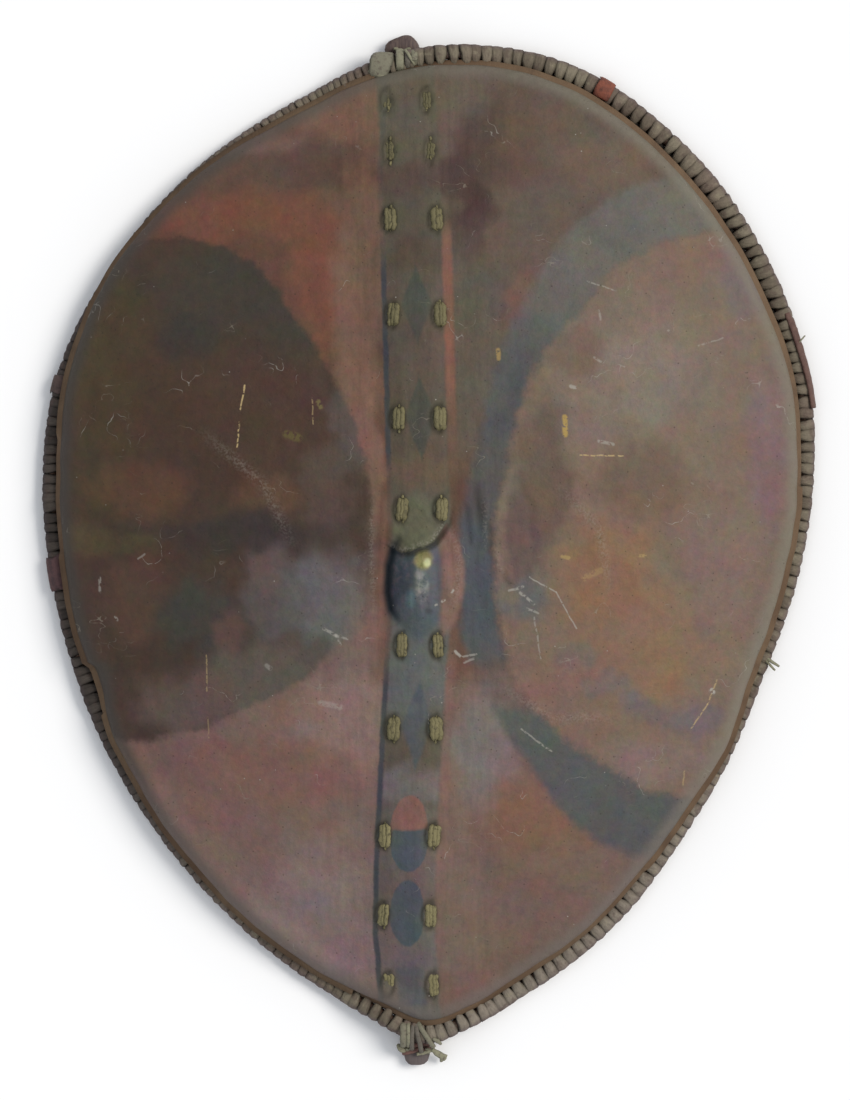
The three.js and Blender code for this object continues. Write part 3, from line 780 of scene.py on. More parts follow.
def inside_line(x, y, points):
    return near_line(x, y, rounded(points))[0]


def oval(x, y, centre, radii):
    """1 on an upright ellipse, less inside it."""
    across = (x - centre[0]) / radii[0]
    along = (y - centre[1]) / radii[1]
    return (across * across + along * along).root()


def strip_motifs(side, y):
    """The dark lozenges, drops and bars on the strip."""
    top = abs(side) / 14 + abs(y - 219) / 36
    second = abs(side - 1) / 14 + abs(y - 118) / 38
    third = abs(side - 2) / 14 + abs(y + 156) / 40
    mask = top.rise(1.12, 0.85) * 0.8
    mask = mask.highest(second.rise(1.12, 0.85) * 0.85)
    mask = mask.highest(third.rise(1.15, 0.8) * 0.75)
    drop = oval(side, y, (0, -262), (16.5, 26)).rise(1.05, 0.94) * y.rise(-247, -251)
    lens = oval(side, y, (0, -325), (15.5, 30)).rise(1.05, 0.94)
    foot = side.peak(0, 13, 5) * y.rise(-414, -408) * y.rise(-372, -379) * 0.6
    return mask.highest(drop).highest(lens).highest(foot)


def painted_hide_finish():
    f = Finish("painted_hide")
    wander = f.noise(24, 3, 0.6, output="Color")
    split = [f.node("ShaderNodeSeparateColor", None, {0: wander}, k) - 0.5 for k in (0, 1, 2)]
    x = f.x + split[0] * 6
    y = f.y + split[1] * 6
    side = f.attribute("beside_stave") + split[0] * 3 + (f.noise(5, 2) - 0.5) * 1.6
    wobble = split[2] * 16 + (f.noise(7, 3, 0.65) - 0.5) * 7
    patch = f.noise(30, 5, 0.62)
    mottle = f.noise(9, 4, 0.6)
    grain = f.noise(2.0, 3, 0.65)
    strokes = f.noise(1, 3, 0.6, f.stretched(4, 60, 20))

    # The three grounds, and the edges between them: soft above, firmer where the paint is thick.
    paint = f.paint_attribute("field_paint")
    oval_in = f.attribute("oval_depth") + wobble
    soft = f.y.rise(60, 0) * f.x.rise(-120, -60)
    firm = oval_in.rise(-3, 5)
    blurred = oval_in.rise(-14, 16)
    paint = f.mix(firm + (blurred - firm) * soft, paint, f.paint_attribute("oval_paint"))
    bow_in = f.attribute("bow_inner_depth") + wobble
    paint = f.mix(bow_in.rise(-6, 6), paint, f.paint_attribute("bow_paint"))
    bow_out = f.attribute("bow_outer_depth") + wobble * 0.9
    gap = f.y.rise(-92, -112) * f.y.rise(-150, -132)
    high = f.y.rise(150, 260)
    band = bow_out.rise(-6, 5) * (1 - bow_in.rise(-5, 6))
    ink = f.mix(patch.rise(0.35, 0.65), INK, (0.074, 0.076, 0.070))
    ink = f.mix(high, ink, SMOKE)
    ink = f.mix(f.y.rise(60, 10) * f.y.rise(-100, -60) * 0.8, ink, (0.052, 0.066, 0.078))
    middle = f.y.rise(120, 60) * f.y.rise(20, 40)
    cover = 0.93 - gap * 0.75 - high * 0.2 - middle * 0.2
    paint = f.mix(band * cover * (0.78 + patch * 0.4), paint, ink)

    # The strip and what is painted on it.
    strip = side.peak(-1, 26, 5)
    paint = f.mix(strip * 0.93, paint, f.paint_attribute("strip_paint"))
    motif = strip_motifs(side, y)
    dark = f.mix(f.y.rise(0, -100), (0.050, 0.055, 0.046), (0.060, 0.074, 0.088))
    paint = f.mix(motif * (0.8 + patch * 0.3), paint, dark)
    roof = oval(side, y, (-1, -250), (16.5, 31)).rise(1.05, 0.95) * y.rise(-251, -247)
    paint = f.mix(roof, paint, (0.200, 0.096, 0.078))
    line_at = side - f.y.rise(330, 410) * 8
    line = line_at.peak(-28.5, 2.4, 2.6)
    thick = f.y.rise(275, 240) * f.y.rise(66, 90) + f.y.rise(-80, -130)
    paint = f.mix(line * (0.25 + thick * 0.65), paint, BLUE_BLACK)
    stripe = side.peak(28.5, 4.4, 4) * f.y.rise(60, 160) * f.y.rise(300, 278)
    faint = side.peak(29, 4, 5) * f.y.rise(-70, -110)
    paint = f.mix(stripe * 0.85, paint, (0.172, 0.078, 0.052))
    paint = f.mix(faint * 0.45, paint, (0.165, 0.088, 0.080))
    left_line = (f.x + split[0] * 4).peak(-44, 3.2, 5) * f.y.rise(-110, -60) * f.y.rise(110, 60)
    paint = f.mix(left_line * 0.5, paint, (0.172, 0.086, 0.064))

    # The mound over the grip: blue-grey, painted shade on its left, a pale streak, a painted highlight
    # cap, a rust fold beside it.
    mound = oval(f.x, f.y, (-13, -29), (25, 50)).rise(1.10, 0.92)
    # Painted shade: the blue is darker on the mound's left side.
    blue = f.mix(f.x.rise(-24, -8), (0.040, 0.050, 0.062), (0.086, 0.088, 0.100))
    blue = f.mix(mottle.rise(0.48, 0.66) * 0.5, blue, (0.088, 0.070, 0.082))
    blue = f.mix(f.y.rise(-40, -62), blue, (0.070, 0.082, 0.088))
    below_fold = f.attribute("flap").rise(0.35, 0.1)
    paint = f.mix(mound * below_fold * 0.95, paint, blue)
    crescent = oval(x, y, (-8, -26), (38, 60)).rise(1.08, 0.92)
    crescent = crescent * oval(x, y, (-18, -28), (27, 66)).rise(0.86, 1.14)
    crescent = crescent * f.x.rise(4, 12) * below_fold
    paint = f.mix(crescent * 0.9, paint, (0.178, 0.104, 0.078))
    rub = oval(x, y, (-8, -31), (6, 15)).rise(1.4, 0.3)
    paint = f.mix(rub * mottle.rise(0.30, 0.62) * 0.75, paint, (0.27, 0.25, 0.24))
    teal = oval(x, y, (-18, -43), (5, 9)).rise(1.4, 0.5)
    paint = f.mix(teal * 0.5, paint, (0.10, 0.14, 0.16))
    # Painted highlights: yellow on the raised cap, and a paler glint on it.
    cap = oval(x, y, (-6, -8.5), (8.5, 9.5)).rise(1.25, 0.6)
    cap_highlight = f.mix(mottle.rise(0.4, 0.6), (0.19, 0.150, 0.055), (0.26, 0.215, 0.095))
    paint = f.mix(cap * 0.85, paint, cap_highlight)
    bright = oval(x, y, (-2.5, -11), (3.2, 4.0)).rise(1.4, 0.5)
    paint = f.mix(bright * 0.8, paint, (0.48, 0.44, 0.26))

    # Clouds of hue over everything, brush strokes beside the strip.
    paint = f.tinted(paint, 42, 0.50)
    paint = f.tinted(paint, 14, 0.36)
    paint = f.tinted(paint, 4.5, 0.26)
    by_strip = abs(side).rise(110, 50) * 0.16 + 0.04
    paint = f.shade(1 + (strokes - 0.5) * by_strip * 2, paint)
    paint = f.shade(0.74 + mottle * 0.36 + grain * 0.24, paint)

    # Dust off the thongs, painted shade in the hollows, rubbed high places, and the edge.
    paint = f.mix(f.attribute("halo") * (0.25 + mottle * 0.6), paint, (0.115, 0.112, 0.062))
    recess_shade_here = f.attribute("recess_shade")
    # Painted shade in the hollows: near black, bluish in the crease left of the boss.
    left_of_boss = f.x.rise(-22, -30) * f.y.rise(-90, -60) * f.y.rise(30, 10)
    dark_tone = f.mix(left_of_boss, (0.024, 0.021, 0.014), (0.012, 0.017, 0.022))
    paint = f.mix(recess_shade_here * (0.75 + mottle * 0.4), paint, dark_tone)
    rubbed = f.attribute("wear") * grain.rise(0.42, 0.62)
    paint = f.mix(rubbed * 0.55, paint, (0.30, 0.27, 0.23))
    flange = f.attribute("flange")
    # The shoulder band: pale where worn, darker to the left as painted shade, greyer towards the bottom.
    edge_wear_and_shade = f.mix(f.x.rise(-280, 200), (0.062, 0.054, 0.047), (0.165, 0.150, 0.116))
    edge_wear_and_shade = f.mix(f.y.rise(-150, -300) * 0.8, edge_wear_and_shade, (0.135, 0.112, 0.100))
    paint = f.mix(f.attribute("shoulder") * (0.35 + mottle * 0.7), paint, edge_wear_and_shade)
    # Painted shade: the flange under the lacing, seen in the gaps between the turns, is near black.
    paint = f.mix(flange, paint, (0.014, 0.011, 0.008))

    # Scratches, scuffs and specks.
    kink = f.noise(9, 2, output="Color")
    bend = [f.node("ShaderNodeSeparateColor", None, {0: kink}, k) * 5 - 2.5 for k in (0, 1)]
    broken = f.noise(3.2, 2).rise(0.36, 0.50)
    for start, end, half_width, colour, strength in SCRATCHES:
        mark = scratch_mark(f, bend, start, end, half_width)
        paint = f.mix(mark * broken * strength, paint, colour)
    threads = f.noise(26, 2, 0.4)
    hair = abs(threads - 0.5).rise(0.006, 0.001) * f.noise(45, 2).rise(0.58, 0.70)
    paint = f.mix(hair * broken * 0.55, paint, CHALK)
    threads = f.noise(17, 2, 0.4, f.stretched(1.7, 1.0))
    hair = abs(threads - 0.52).rise(0.006, 0.001) * f.noise(70, 2).rise(0.60, 0.68)
    paint = f.mix(hair * broken * 0.45, paint, (0.26, 0.23, 0.18))
    specks = f.node("ShaderNodeTexVoronoi", {"feature": "F1"}, {"Vector": f.place, "Scale": 75.0})
    paint = f.mix(specks.rise(0.060, 0.025) * f.noise(60, 2).rise(0.50, 0.62) * 0.75, paint, CHALK)
    pits = f.node("ShaderNodeTexVoronoi", {"feature": "F1"}, {"Vector": f.place, "Scale": 120.0})
    paint = f.mix(pits.rise(0.12, 0.05) * 0.5, paint, (0.030, 0.022, 0.017))

    roughness = 0.60 + (mottle - 0.5) * 0.3 + recess_shade_here * 0.2
    height = grain * 0.3 + mottle * 0.7 + patch * 1.6
    return f.finish(paint, roughness, height, depth=1.1, specular=0.14)


# Marks on the face: two ends, half width, colour and strength.
SCRATCHES = [
    ((-165.7, 147), (-170, 124), 0.55, STRAW, 0.95),
    ((-170.5, 114), (-172.5, 92), 0.50, STRAW, 0.9),
    ((-105.5, 135), (-104.5, 112), 0.5, STRAW, 0.45),
    ((-200, -94), (-200, -126), 0.5, STRAW, 0.45),
    ((-199.5, -150), (-198.5, -168), 0.45, STRAW, 0.3),
    ((133, 84.4), (171, 84.0), 0.6, STRAW, 0.8),
    ((88, -24), (112, -38), 0.5, CHALK, 0.6),
    ((112, -38), (130, -70), 0.5, CHALK, 0.55),
    ((257, -117), (249, -138), 0.6, STRAW, 0.5),
    ((249, -138), (234, -160), 0.6, STRAW, 0.6),
    ((81, -160), (108, -180), 0.7, CHALK, 0.5),
    ((228, -199), (227, -211), 0.7, STRAW, 0.4),
    ((119.6, 118), (119.6, 103), 3.0, (0.40, 0.27, 0.07), 0.75),
    ((60, 178), (60.5, 171), 2.4, (0.36, 0.24, 0.08), 0.6),
    ((117, -6), (123, -7), 2.0, (0.34, 0.24, 0.09), 0.6),
    ((137, -25), (152, -18), 3.4, (0.30, 0.20, 0.09), 0.5),
    ((186, -5), (193, -5), 1.6, (0.34, 0.24, 0.10), 0.6),
    ((252.5, -126.5), (253.5, -127.5), 2.6, CHALK, 0.9),
    ((150, 97), (163, 94), 1.6, CHALK, 0.5),
    ((125, 146), (129, 145), 1.8, CHALK, 0.6),
    ((-95, -70), (-84, -76), 1.6, CHALK, 0.55),
    ((-84, -76), (-74, -79), 1.0, CHALK, 0.5),
    ((-84, -76), (-80, -84), 0.9, CHALK, 0.4),
    ((-146, -103), (-143, -105), 2.4, CHALK, 0.4),
    ((-98, -136), (-80, -140), 3.0, CHALK, 0.35),
    ((22, -90), (27, -95), 1.3, CHALK, 0.75),
    ((27, -95), (40, -93), 1.0, CHALK, 0.5),
    ((30, -100), (38, -97), 1.1, CHALK, 0.45),
    ((70, -36), (82, -33), 1.2, CHALK, 0.6),
    ((80, -38), (92, -48), 1.4, CHALK, 0.6),
    ((86, -52), (96, -56), 1.0, CHALK, 0.5),
    ((92, -60), (98, -98), 0.7, CHALK, 0.4),
    ((-297, -25), (-297, -38), 1.2, CHALK, 0.5),
    ((-283, -60), (-281, -63), 1.2, CHALK, 0.5),
    ((-262, -8), (-256, -4), 0.9, CHALK, 0.4),
    ((146, 172), (152, 168), 0.9, CHALK, 0.4),
    ((140, 240), (166, 232), 0.6, CHALK, 0.45),
    ((150, 214), (152, 206), 1.0, CHALK, 0.4),
    ((240, 183), (262, 190), 0.7, CHALK, 0.35),
    ((-100, 132), (-98, 127), 2.6, (0.20, 0.17, 0.06), 0.5),
    ((-128, 103), (-118, 100), 4.5, (0.13, 0.11, 0.035), 0.55),
    ((19, -37), (20, -36), 1.4, CHALK, 0.8),
    ((10.5, -46), (12, -45), 1.2, CHALK, 0.7),
    ((4, -49), (5.5, -48.5), 1.0, CHALK, 0.6),
]


def scratch_mark(f, bend, start, end, half_width):
    """1 on a straight mark between two places, bent a little."""
    run = Vector((end[0] - start[0], end[1] - start[1]))
    length = run.length
    run.normalize()
    px = f.x + bend[0] * 0.5 - start[0]
    py = f.y + bend[1] * 0.5 - start[1]
    t = (px * run.x + py * run.y).highest(0).lowest(length)
    dx = px - t * run.x
    dy = py - t * run.y
    return (dx * dx + dy * dy).root().rise(half_width + 0.5, half_width * 0.4)


def raw_hide_finish():
    """The unpainted back of the hide."""
    f = Finish("raw_hide")
    cloud = f.noise(90, 4, 0.6)
    patch = f.noise(22, 5, 0.62)
    fibre = f.noise(1.0, 3, 0.6, f.stretched(1.0, 6.0))
    colour = f.mix(cloud.rise(0.3, 0.7), (0.16, 0.105, 0.062), (0.105, 0.062, 0.036))
    colour = f.mix(patch.rise(0.5, 0.75) * 0.5, colour, (0.07, 0.045, 0.030))
    colour = f.shade(0.85 + fibre * 0.3, colour)
    return f.finish(colour, 0.72, fibre * 0.5 + patch, depth=0.6, specular=0.2)


# ---- thong, wood and scraps ----------------------------------------------------------------------


def rim_thong_finish():
    """Dry hide thong of the lacing, greyer on top, with painted shade purplish outside and nearly black
    to the left.
    """
    f = Finish("rim_thong")
    tone = f.attribute("tone")
    edge = f.attribute("edge")
    around = f.attribute("around")
    lit = f.mix(tone, (0.110, 0.088, 0.062), (0.185, 0.158, 0.112))
    lit = f.mix(f.noise(60, 2).rise(0.45, 0.65) * 0.5, lit, (0.150, 0.106, 0.084))
    # Painted light: the turns at the lower right are lighter.
    low = f.y.rise(-120, -300) * f.x.rise(-40, 40)
    lit = f.mix(low * 0.7, lit, (0.215, 0.185, 0.150))
    # Painted shade: the turns on the left are near black, less so towards the bottom.
    shaded_side = f.x.rise(-150, -290)
    shaded = f.mix(tone, (0.030, 0.024, 0.021), (0.070, 0.056, 0.047))
    shaded = f.mix(f.y.rise(-150, -290), shaded, (0.100, 0.084, 0.074))
    colour = f.mix(shaded_side * 0.92, lit, shaded)
    # Painted shade: the outside of each turn is purplish, darker on the left.
    outside = around.rise(0.30, 0.42) * around.rise(0.78, 0.62)
    colour = f.mix(outside * 0.7, colour, f.mix(shaded_side, (0.115, 0.082, 0.080), (0.050, 0.034, 0.036)))
    lengthwise = f.node("ShaderNodeCombineXYZ", None, {0: edge * 2.6, 1: around * 9, 2: tone * 41})
    strands = f.noise(1000, 3, 0.6, lengthwise)
    fibres = f.noise(1.1, 3, 0.6)
    blotch = f.noise(9, 3, 0.6)
    colour = f.mix(blotch.rise(0.50, 0.68) * 0.5, colour, (0.075, 0.048, 0.040))
    colour = f.mix(blotch.rise(0.42, 0.30) * 0.45 * (1 - shaded_side), colour, (0.225, 0.195, 0.130))
    # Painted shade along the turns' rolled edges.
    rolled = abs(edge).rise(0.45, 1.0)
    colour = f.shade((0.42 + fibres * 0.36 + strands * 0.85) * (1 - rolled * 0.42), colour)
    # Painted shade: near black by the holes, in the gaps between the turns.
    near_hole = around.rise(0.12, 0.0) + around.rise(0.93, 1.0)
    colour = f.mix(near_hole * 0.85, colour, (0.022, 0.017, 0.013))
    height = fibres * 0.5 + strands * 1.4
    return f.finish(colour, 0.66 + (blotch - 0.5) * 0.2, height, depth=0.7, specular=0.18)


def thong_finish(name, pale, dark, dark_tone):
    """A separate thong: colour by strip, mottled, with painted shade darkening its edges."""
    f = Finish(name)
    tone = f.attribute("tone")
    edge = abs(f.attribute("edge"))
    mottle = f.noise(3.2, 4, 0.65)
    fibres = f.noise(0.8, 3, 0.6)
    colour = f.mix(tone, dark, pale)
    colour = f.mix(mottle.rise(0.50, 0.72) * 0.8, colour, dark_tone)
    # Painted shade along the thong's edges.
    colour = f.shade((0.78 + fibres * 0.44) * (1 - edge.rise(0.7, 1.0) * 0.45), colour)
    return f.finish(colour, 0.62, fibres * 0.4 + mottle, depth=0.7, specular=0.25)


def wood_finish():
    f = Finish("handled_wood")
    streak = f.noise(2.2, 4, 0.65, f.stretched(1.0, 14.0))
    cloud = f.noise(40, 3, 0.6, f.stretched(1.0, 3.0))
    colour = f.mix(streak.rise(0.3, 0.7), (0.060, 0.032, 0.022), (0.125, 0.070, 0.044))
    colour = f.mix(cloud.rise(0.45, 0.75) * 0.5, colour, (0.045, 0.028, 0.022))
    tip = f.y.rise(440, 450)
    tip_wood = f.mix(streak.rise(0.35, 0.65), (0.065, 0.045, 0.045), (0.115, 0.085, 0.075))
    colour = f.mix(tip * 0.8, colour, tip_wood)
    foot = f.y.rise(-448, -452)
    colour = f.mix(foot * 0.8, colour, (0.115, 0.098, 0.098))
    return f.finish(colour, 0.55 + streak * 0.15, streak + cloud * 0.4, depth=0.5, specular=0.3)


def scrap_finish(name, colour, dark):
    f = Finish(name)
    blotch = f.noise(7, 4, 0.65)
    cracks = f.noise(1.6, 4, 0.7)
    mixed = f.mix(blotch.rise(0.42, 0.68), colour, dark)
    mixed = f.shade(0.75 + cracks * 0.45, mixed)
    return f.finish(mixed, 0.6, cracks + blotch, depth=0.6, specular=0.25)


# ---- the painted hide ----------------------------------------------------------------------------

HIDE_STATIONS = 460
DOME_RINGS = 138
BACK_EVERY = 6  # the back has one ring for so many of the face
SHOULDER_STEPS = (3, 3, 4, 4, 7)  # rings between the shoulder line's points


def crowded_bearings():
    """Bearings round the grip, closer together along the stave, where the stitches are."""
    fine = np.linspace(0, 360, 7201)
    density = 1 + sum(3.0 * hump(np.abs((fine - end + 540) % 360 - 180), 10) for end in (90, 268.5))
    run = np.concatenate([[0], np.cumsum((density[1:] + density[:-1]) / 2)])
    wanted = np.arange(HIDE_STATIONS) / HIDE_STATIONS * run[-1]
    return np.interp(wanted, run, fine)


def shoulder_line(bearing):
    """The face from the flange's edge in to the dome, as points (distance, height)."""
    reach = rim_reach(bearing)
    widen = slant(bearing)
    inset = shoulder_inset(bearing)
    rise = shoulder_rise(bearing)
    lift = rim_lift(bearing)

    def across(place, height):
        return np.stack([reach + place * widen, lift + FLANGE_TOP + height])

    flat = 0 * inset
    edge, _ = shoulder_point(bearing)
    inner = 0.92 * edge
    return [
        across(FLANGE_EDGE + flat, flat),
        across(FLANGE_FOOT + flat, flat),
        across(np.minimum(FLANGE_FOOT, -inset - 1), 0.2 * rise),
        across(-inset, 0.46 * rise),
        across(-inset - 0.27 * SHOULDER_WIDTH, 0.8 * rise),
        across(-inset - SHOULDER_WIDTH, rise),
        np.stack([inner, dome_height(bearing, inner)]),
    ]


def smooth_spans(points, steps):
    """Points along a smooth line through the given ones, for every bearing at once."""
    knots = [np.zeros_like(points[0][0])]
    for before, after in zip(points, points[1:]):
        knots.append(knots[-1] + np.hypot(*(after - before)))
    slopes = []
    for i in range(len(points)):
        low, high = max(i - 1, 0), min(i + 1, len(points) - 1)
        slopes.append((points[high] - points[low]) / (knots[high] - knots[low]))
    line = []
    for i, count in enumerate(steps):
        span = knots[i + 1] - knots[i]
        for s in np.arange(count) / count:
            line.append(
                points[i] * (2 * s**3 - 3 * s**2 + 1) + slopes[i] * span * (s**3 - 2 * s**2 + s)
                + points[i + 1] * (3 * s**2 - 2 * s**3) + slopes[i + 1] * span * (s**3 - s**2)
            )
    return line


def make_painted_hide():
    bearing = crowded_bearings()
    edge, _ = shoulder_point(bearing)
    shoulder = smooth_spans(shoulder_line(bearing), SHOULDER_STEPS)
    share = np.linspace(1, 0, DOME_RINGS + 1)[:-1]
    share = share * (0.55 + 0.45 * share)
    dome = [np.stack([part * edge, dome_height(bearing, part * edge)]) for part in share]
    rings = np.array(shoulder + dome)
    angle = np.radians(bearing)
    x = GRIP[0] + rings[:, 0] * np.cos(angle)
    y = GRIP[1] + rings[:, 0] * np.sin(angle)
    inward = np.clip((edge * 1.01 - rings[:, 0]) / 16, 0, 1)
    dome_part = smooth_step(inward)
    bump = relief(x, y)
    z = rings[:, 1] + dome_part * (bump + boss_height(x, y))

    run = np.gradient(rings[:, :, :], axis=0)
    normal = np.stack([run[:, 1], -run[:, 0]], 1)
    normal /= np.linalg.norm(normal, axis=1, keepdims=True)
    normal *= np.sign(normal[:, 1:2] + 1e-9)
    rolled = sum(SHOULDER_STEPS) + 1
    kept = [0, *range(3, rolled), *range(rolled + 5, len(rings) - 1, BACK_EVERY), len(rings) - 1]
    body = rings[:, 1] + dome_part * (boss_height(x, y) + 0.6 * bump)
    back_distance = rings[:, 0] - HIDE_THICKNESS * normal[:, 0]
    back_distance[0] = rings[0, 0]
    back_x = GRIP[0] + back_distance * np.cos(angle)
    back_y = GRIP[1] + back_distance * np.sin(angle)
    back_z = body - HIDE_THICKNESS * np.abs(normal[:, 1])
    back_z[0] = rings[0, 1] - HIDE_THICKNESS

    face = np.stack([x, y, z], -1)
    back = np.stack([back_x, back_y, back_z], -1)[kept]
    crest = float(face_height(*GRIP))
    poles = [[*GRIP, crest - HIDE_THICKNESS], [*GRIP, crest]]
    points = np.concatenate([back[::-1].reshape(-1, 3), face.reshape(-1, 3), poles])
    rows = len(kept) + len(rings)
    faces = quad_grid(rows, HIDE_STATIONS)
    back_pole = rows * HIDE_STATIONS
    last = (rows - 1) * HIDE_STATIONS
    back_faces = (len(kept) - 1) * HIDE_STATIONS
    for i in range(HIDE_STATIONS):
        j = (i + 1) % HIDE_STATIONS
        faces.append([back_pole, j, i])
        faces.append([back_pole + 1, last + i, last + j])

    # Flange rings, which the finish paints near black as shade under the lacing.
    wall_rings = sum(SHOULDER_STEPS[:3]) - 1
    flange = np.zeros(x.shape)
    flange[:wall_rings] = 1
    flange[wall_rings] = 0.5
    brow = np.arange(len(rings))[:, None] + 0 * x
    shoulder_share = smooth_step((brow - 8.5) / 2) * smooth_step((18 - brow) / 5)

    def whole(values):
        """The face's values, with nothing on the back."""
        quiet = np.zeros((len(kept) * HIDE_STATIONS, *values.shape[2:]))
        last = np.stack([values[-1, 0]] * 2)
        return np.concatenate([quiet, values.reshape(-1, *values.shape[2:]), last])

    side = beside_stave(x, y)
    attributes = {
        "beside_stave": whole(side), "recess_shade": whole(recess_shade(x, y)), "halo": whole(halo(x, y)),
        "flange": whole(flange), "wear": whole(wear(x, y)), "shoulder": whole(shoulder_share),
        "flap": whole(flap_share(x, y)), "oval_depth": whole(inside_line(x, y, OVAL_EDGE)),
        "bow_outer_depth": whole(inside_line(x, y, BOW_OUTER)),
        "bow_inner_depth": whole(inside_line(x, y, BOW_INNER)),
        "field_paint": whole(wash(x, y, EARTH, FIELD, 71)),
        "oval_paint": whole(wash(x, y, DUSK, OVAL_INSIDE, 75)),
        "bow_paint": whole(wash(x, y, TAUPE, BOW_INSIDE, 79)),
        "strip_paint": whole(wash(side, y, STRIP_BROWN, STRIP, 83)),
    }
    piece = turn_outwards(make_mesh("painted_hide_face", points, faces, attributes))
    piece.data.materials.append(painted_hide_finish())
    piece.data.materials.append(raw_hide_finish())
    slots = np.zeros(len(faces), np.int32)
    slots[:back_faces] = 1
    slots[-2 * HIDE_STATIONS::2] = 1
    piece.data.polygons.foreach_set("material_index", slots)
    return piece


# ---- the rim -------------------------------------------------------------------------------------

# How far apart the turns of the lacing are, by bearing.
TURN_SPACING = [
    (0, 10.4), (40, 10.4), (70, 10.6), (88, 10.2), (97, 6.9), (112, 7.4), (130, 8.8), (180, 8.9),
    (225, 9.1), (265, 9.6), (290, 11.2), (325, 11.0), (360, 10.4),
]
# One turn of thong round rod and flange: place across the rim, height, half width.
TURN_LINE = [
    (-21.2, 9.2, 1.9), (-19.6, 13.0, 2.6), (-15.4, 15.9, 4.1), (-9.6, 16.8, 5.1),
    (-3.8, 15.4, 5.7), (-0.6, 11.4, 5.9), (-0.4, 6.2, 5.9), (-3.2, 1.9, 5.2),
    (-8.8, 0.5, 4.8), (-14.8, 1.2, 4.2), (-18.8, 3.8, 3.0), (-20.8, 6.4, 2.0),
]
TURN_THICKNESS = 1.5
# Stretches of heavier wrapping: middle bearing, half length in degrees, extra bulk.
BULGES = [
    (56, 3.5, 0.10), (50, 3, 0.07), (168.5, 2.5, 0.10),
    (196.5, 3, 0.12), (41, 2, 0.08), (214, 2, 0.08),
]


def make_turn():
    """One closed turn of the lacing, to be repeated."""
    line = np.array(TURN_LINE)
    middle = np.array([-10.5, 8.5])
    outline = [(-1.0, -1.0), (-0.72, -0.12), (0.0, 0.22), (0.72, -0.12), (1.0, -1.0)]
    points = []
    around = []
    edge = []
    for i, (across, height, half) in enumerate(line):
        before, after = line[i - 1][:2], line[(i + 1) % len(line)][:2]
        run = (after - before) / np.linalg.norm(after - before)
        out = np.array([-run[1], run[0]])
        if out @ (np.array([across, height]) - middle) < 0:
            out = -out
        for side, up in outline:
            place = np.array([across, height]) + out * up * TURN_THICKNESS
            points.append((place[0], side * half, max(place[1], 0.05)))
            around.append(i / len(line))
            edge.append(side)
    count = len(outline)
    faces = quad_grid(len(line), count)
    last = (len(line) - 1) * count
    for j in range(count):
        faces.append([last + j, last + (j + 1) % count, (j + 1) % count, j])
    return turn_outwards(make_mesh("turn", points, faces, {"around": around, "edge": edge}))


class Maker(Tree):
    """A geometry node tree with named inputs."""

    def __init__(self, name, sockets):
        super().__init__(bpy.data.node_groups.new(name, "GeometryNodeTree"))
        add = self.tree.interface.new_socket
        add(name="Geometry", in_out="INPUT", socket_type="NodeSocketGeometry")
        add(name="Geometry", in_out="OUTPUT", socket_type="NodeSocketGeometry")
        for key, kind in sockets.items():
            add(name=key, in_out="INPUT", socket_type=kind)
        entry = self.tree.nodes.new("NodeGroupInput")
        self.given = {socket.name: Value(self, socket) for socket in entry.outputs if socket.name}

    def end(self, geometry):
        self.node("NodeGroupOutput", None, {"Geometry": geometry})
        return self.tree

    def random(self, low, high, seed):
        values = {2: low, 3: high, "Seed": seed}
        return self.node("FunctionNodeRandomValue", {"data_type": "FLOAT"}, values, 1)

    def keep(self, geometry, name, value, domain):
        settings = {"data_type": "FLOAT", "domain": domain}
        return self.node(
            "GeometryNodeStoreNamedAttribute", settings,
            {"Geometry": geometry, "Name": name, "Value": value})


def apply_tree(piece, tree, values):
    """Runs a tree on a piece and leaves a plain mesh."""
    modifier = piece.modifiers.new(tree.name, "NODES")
    modifier.node_group = tree
    for item in tree.interface.items_tree:
        if item.in_out == "INPUT" and item.name in values:
            modifier[item.identifier] = values[item.name]
    bpy.context.view_layer.update()
    depsgraph = bpy.context.evaluated_depsgraph_get()
    settled = bpy.data.meshes.new_from_object(
        piece.evaluated_get(depsgraph), preserve_all_data_layers=True, depsgraph=depsgraph)
    piece.modifiers.clear()
    old = piece.data
    piece.data = settled
    bpy.data.meshes.remove(old)
    return piece


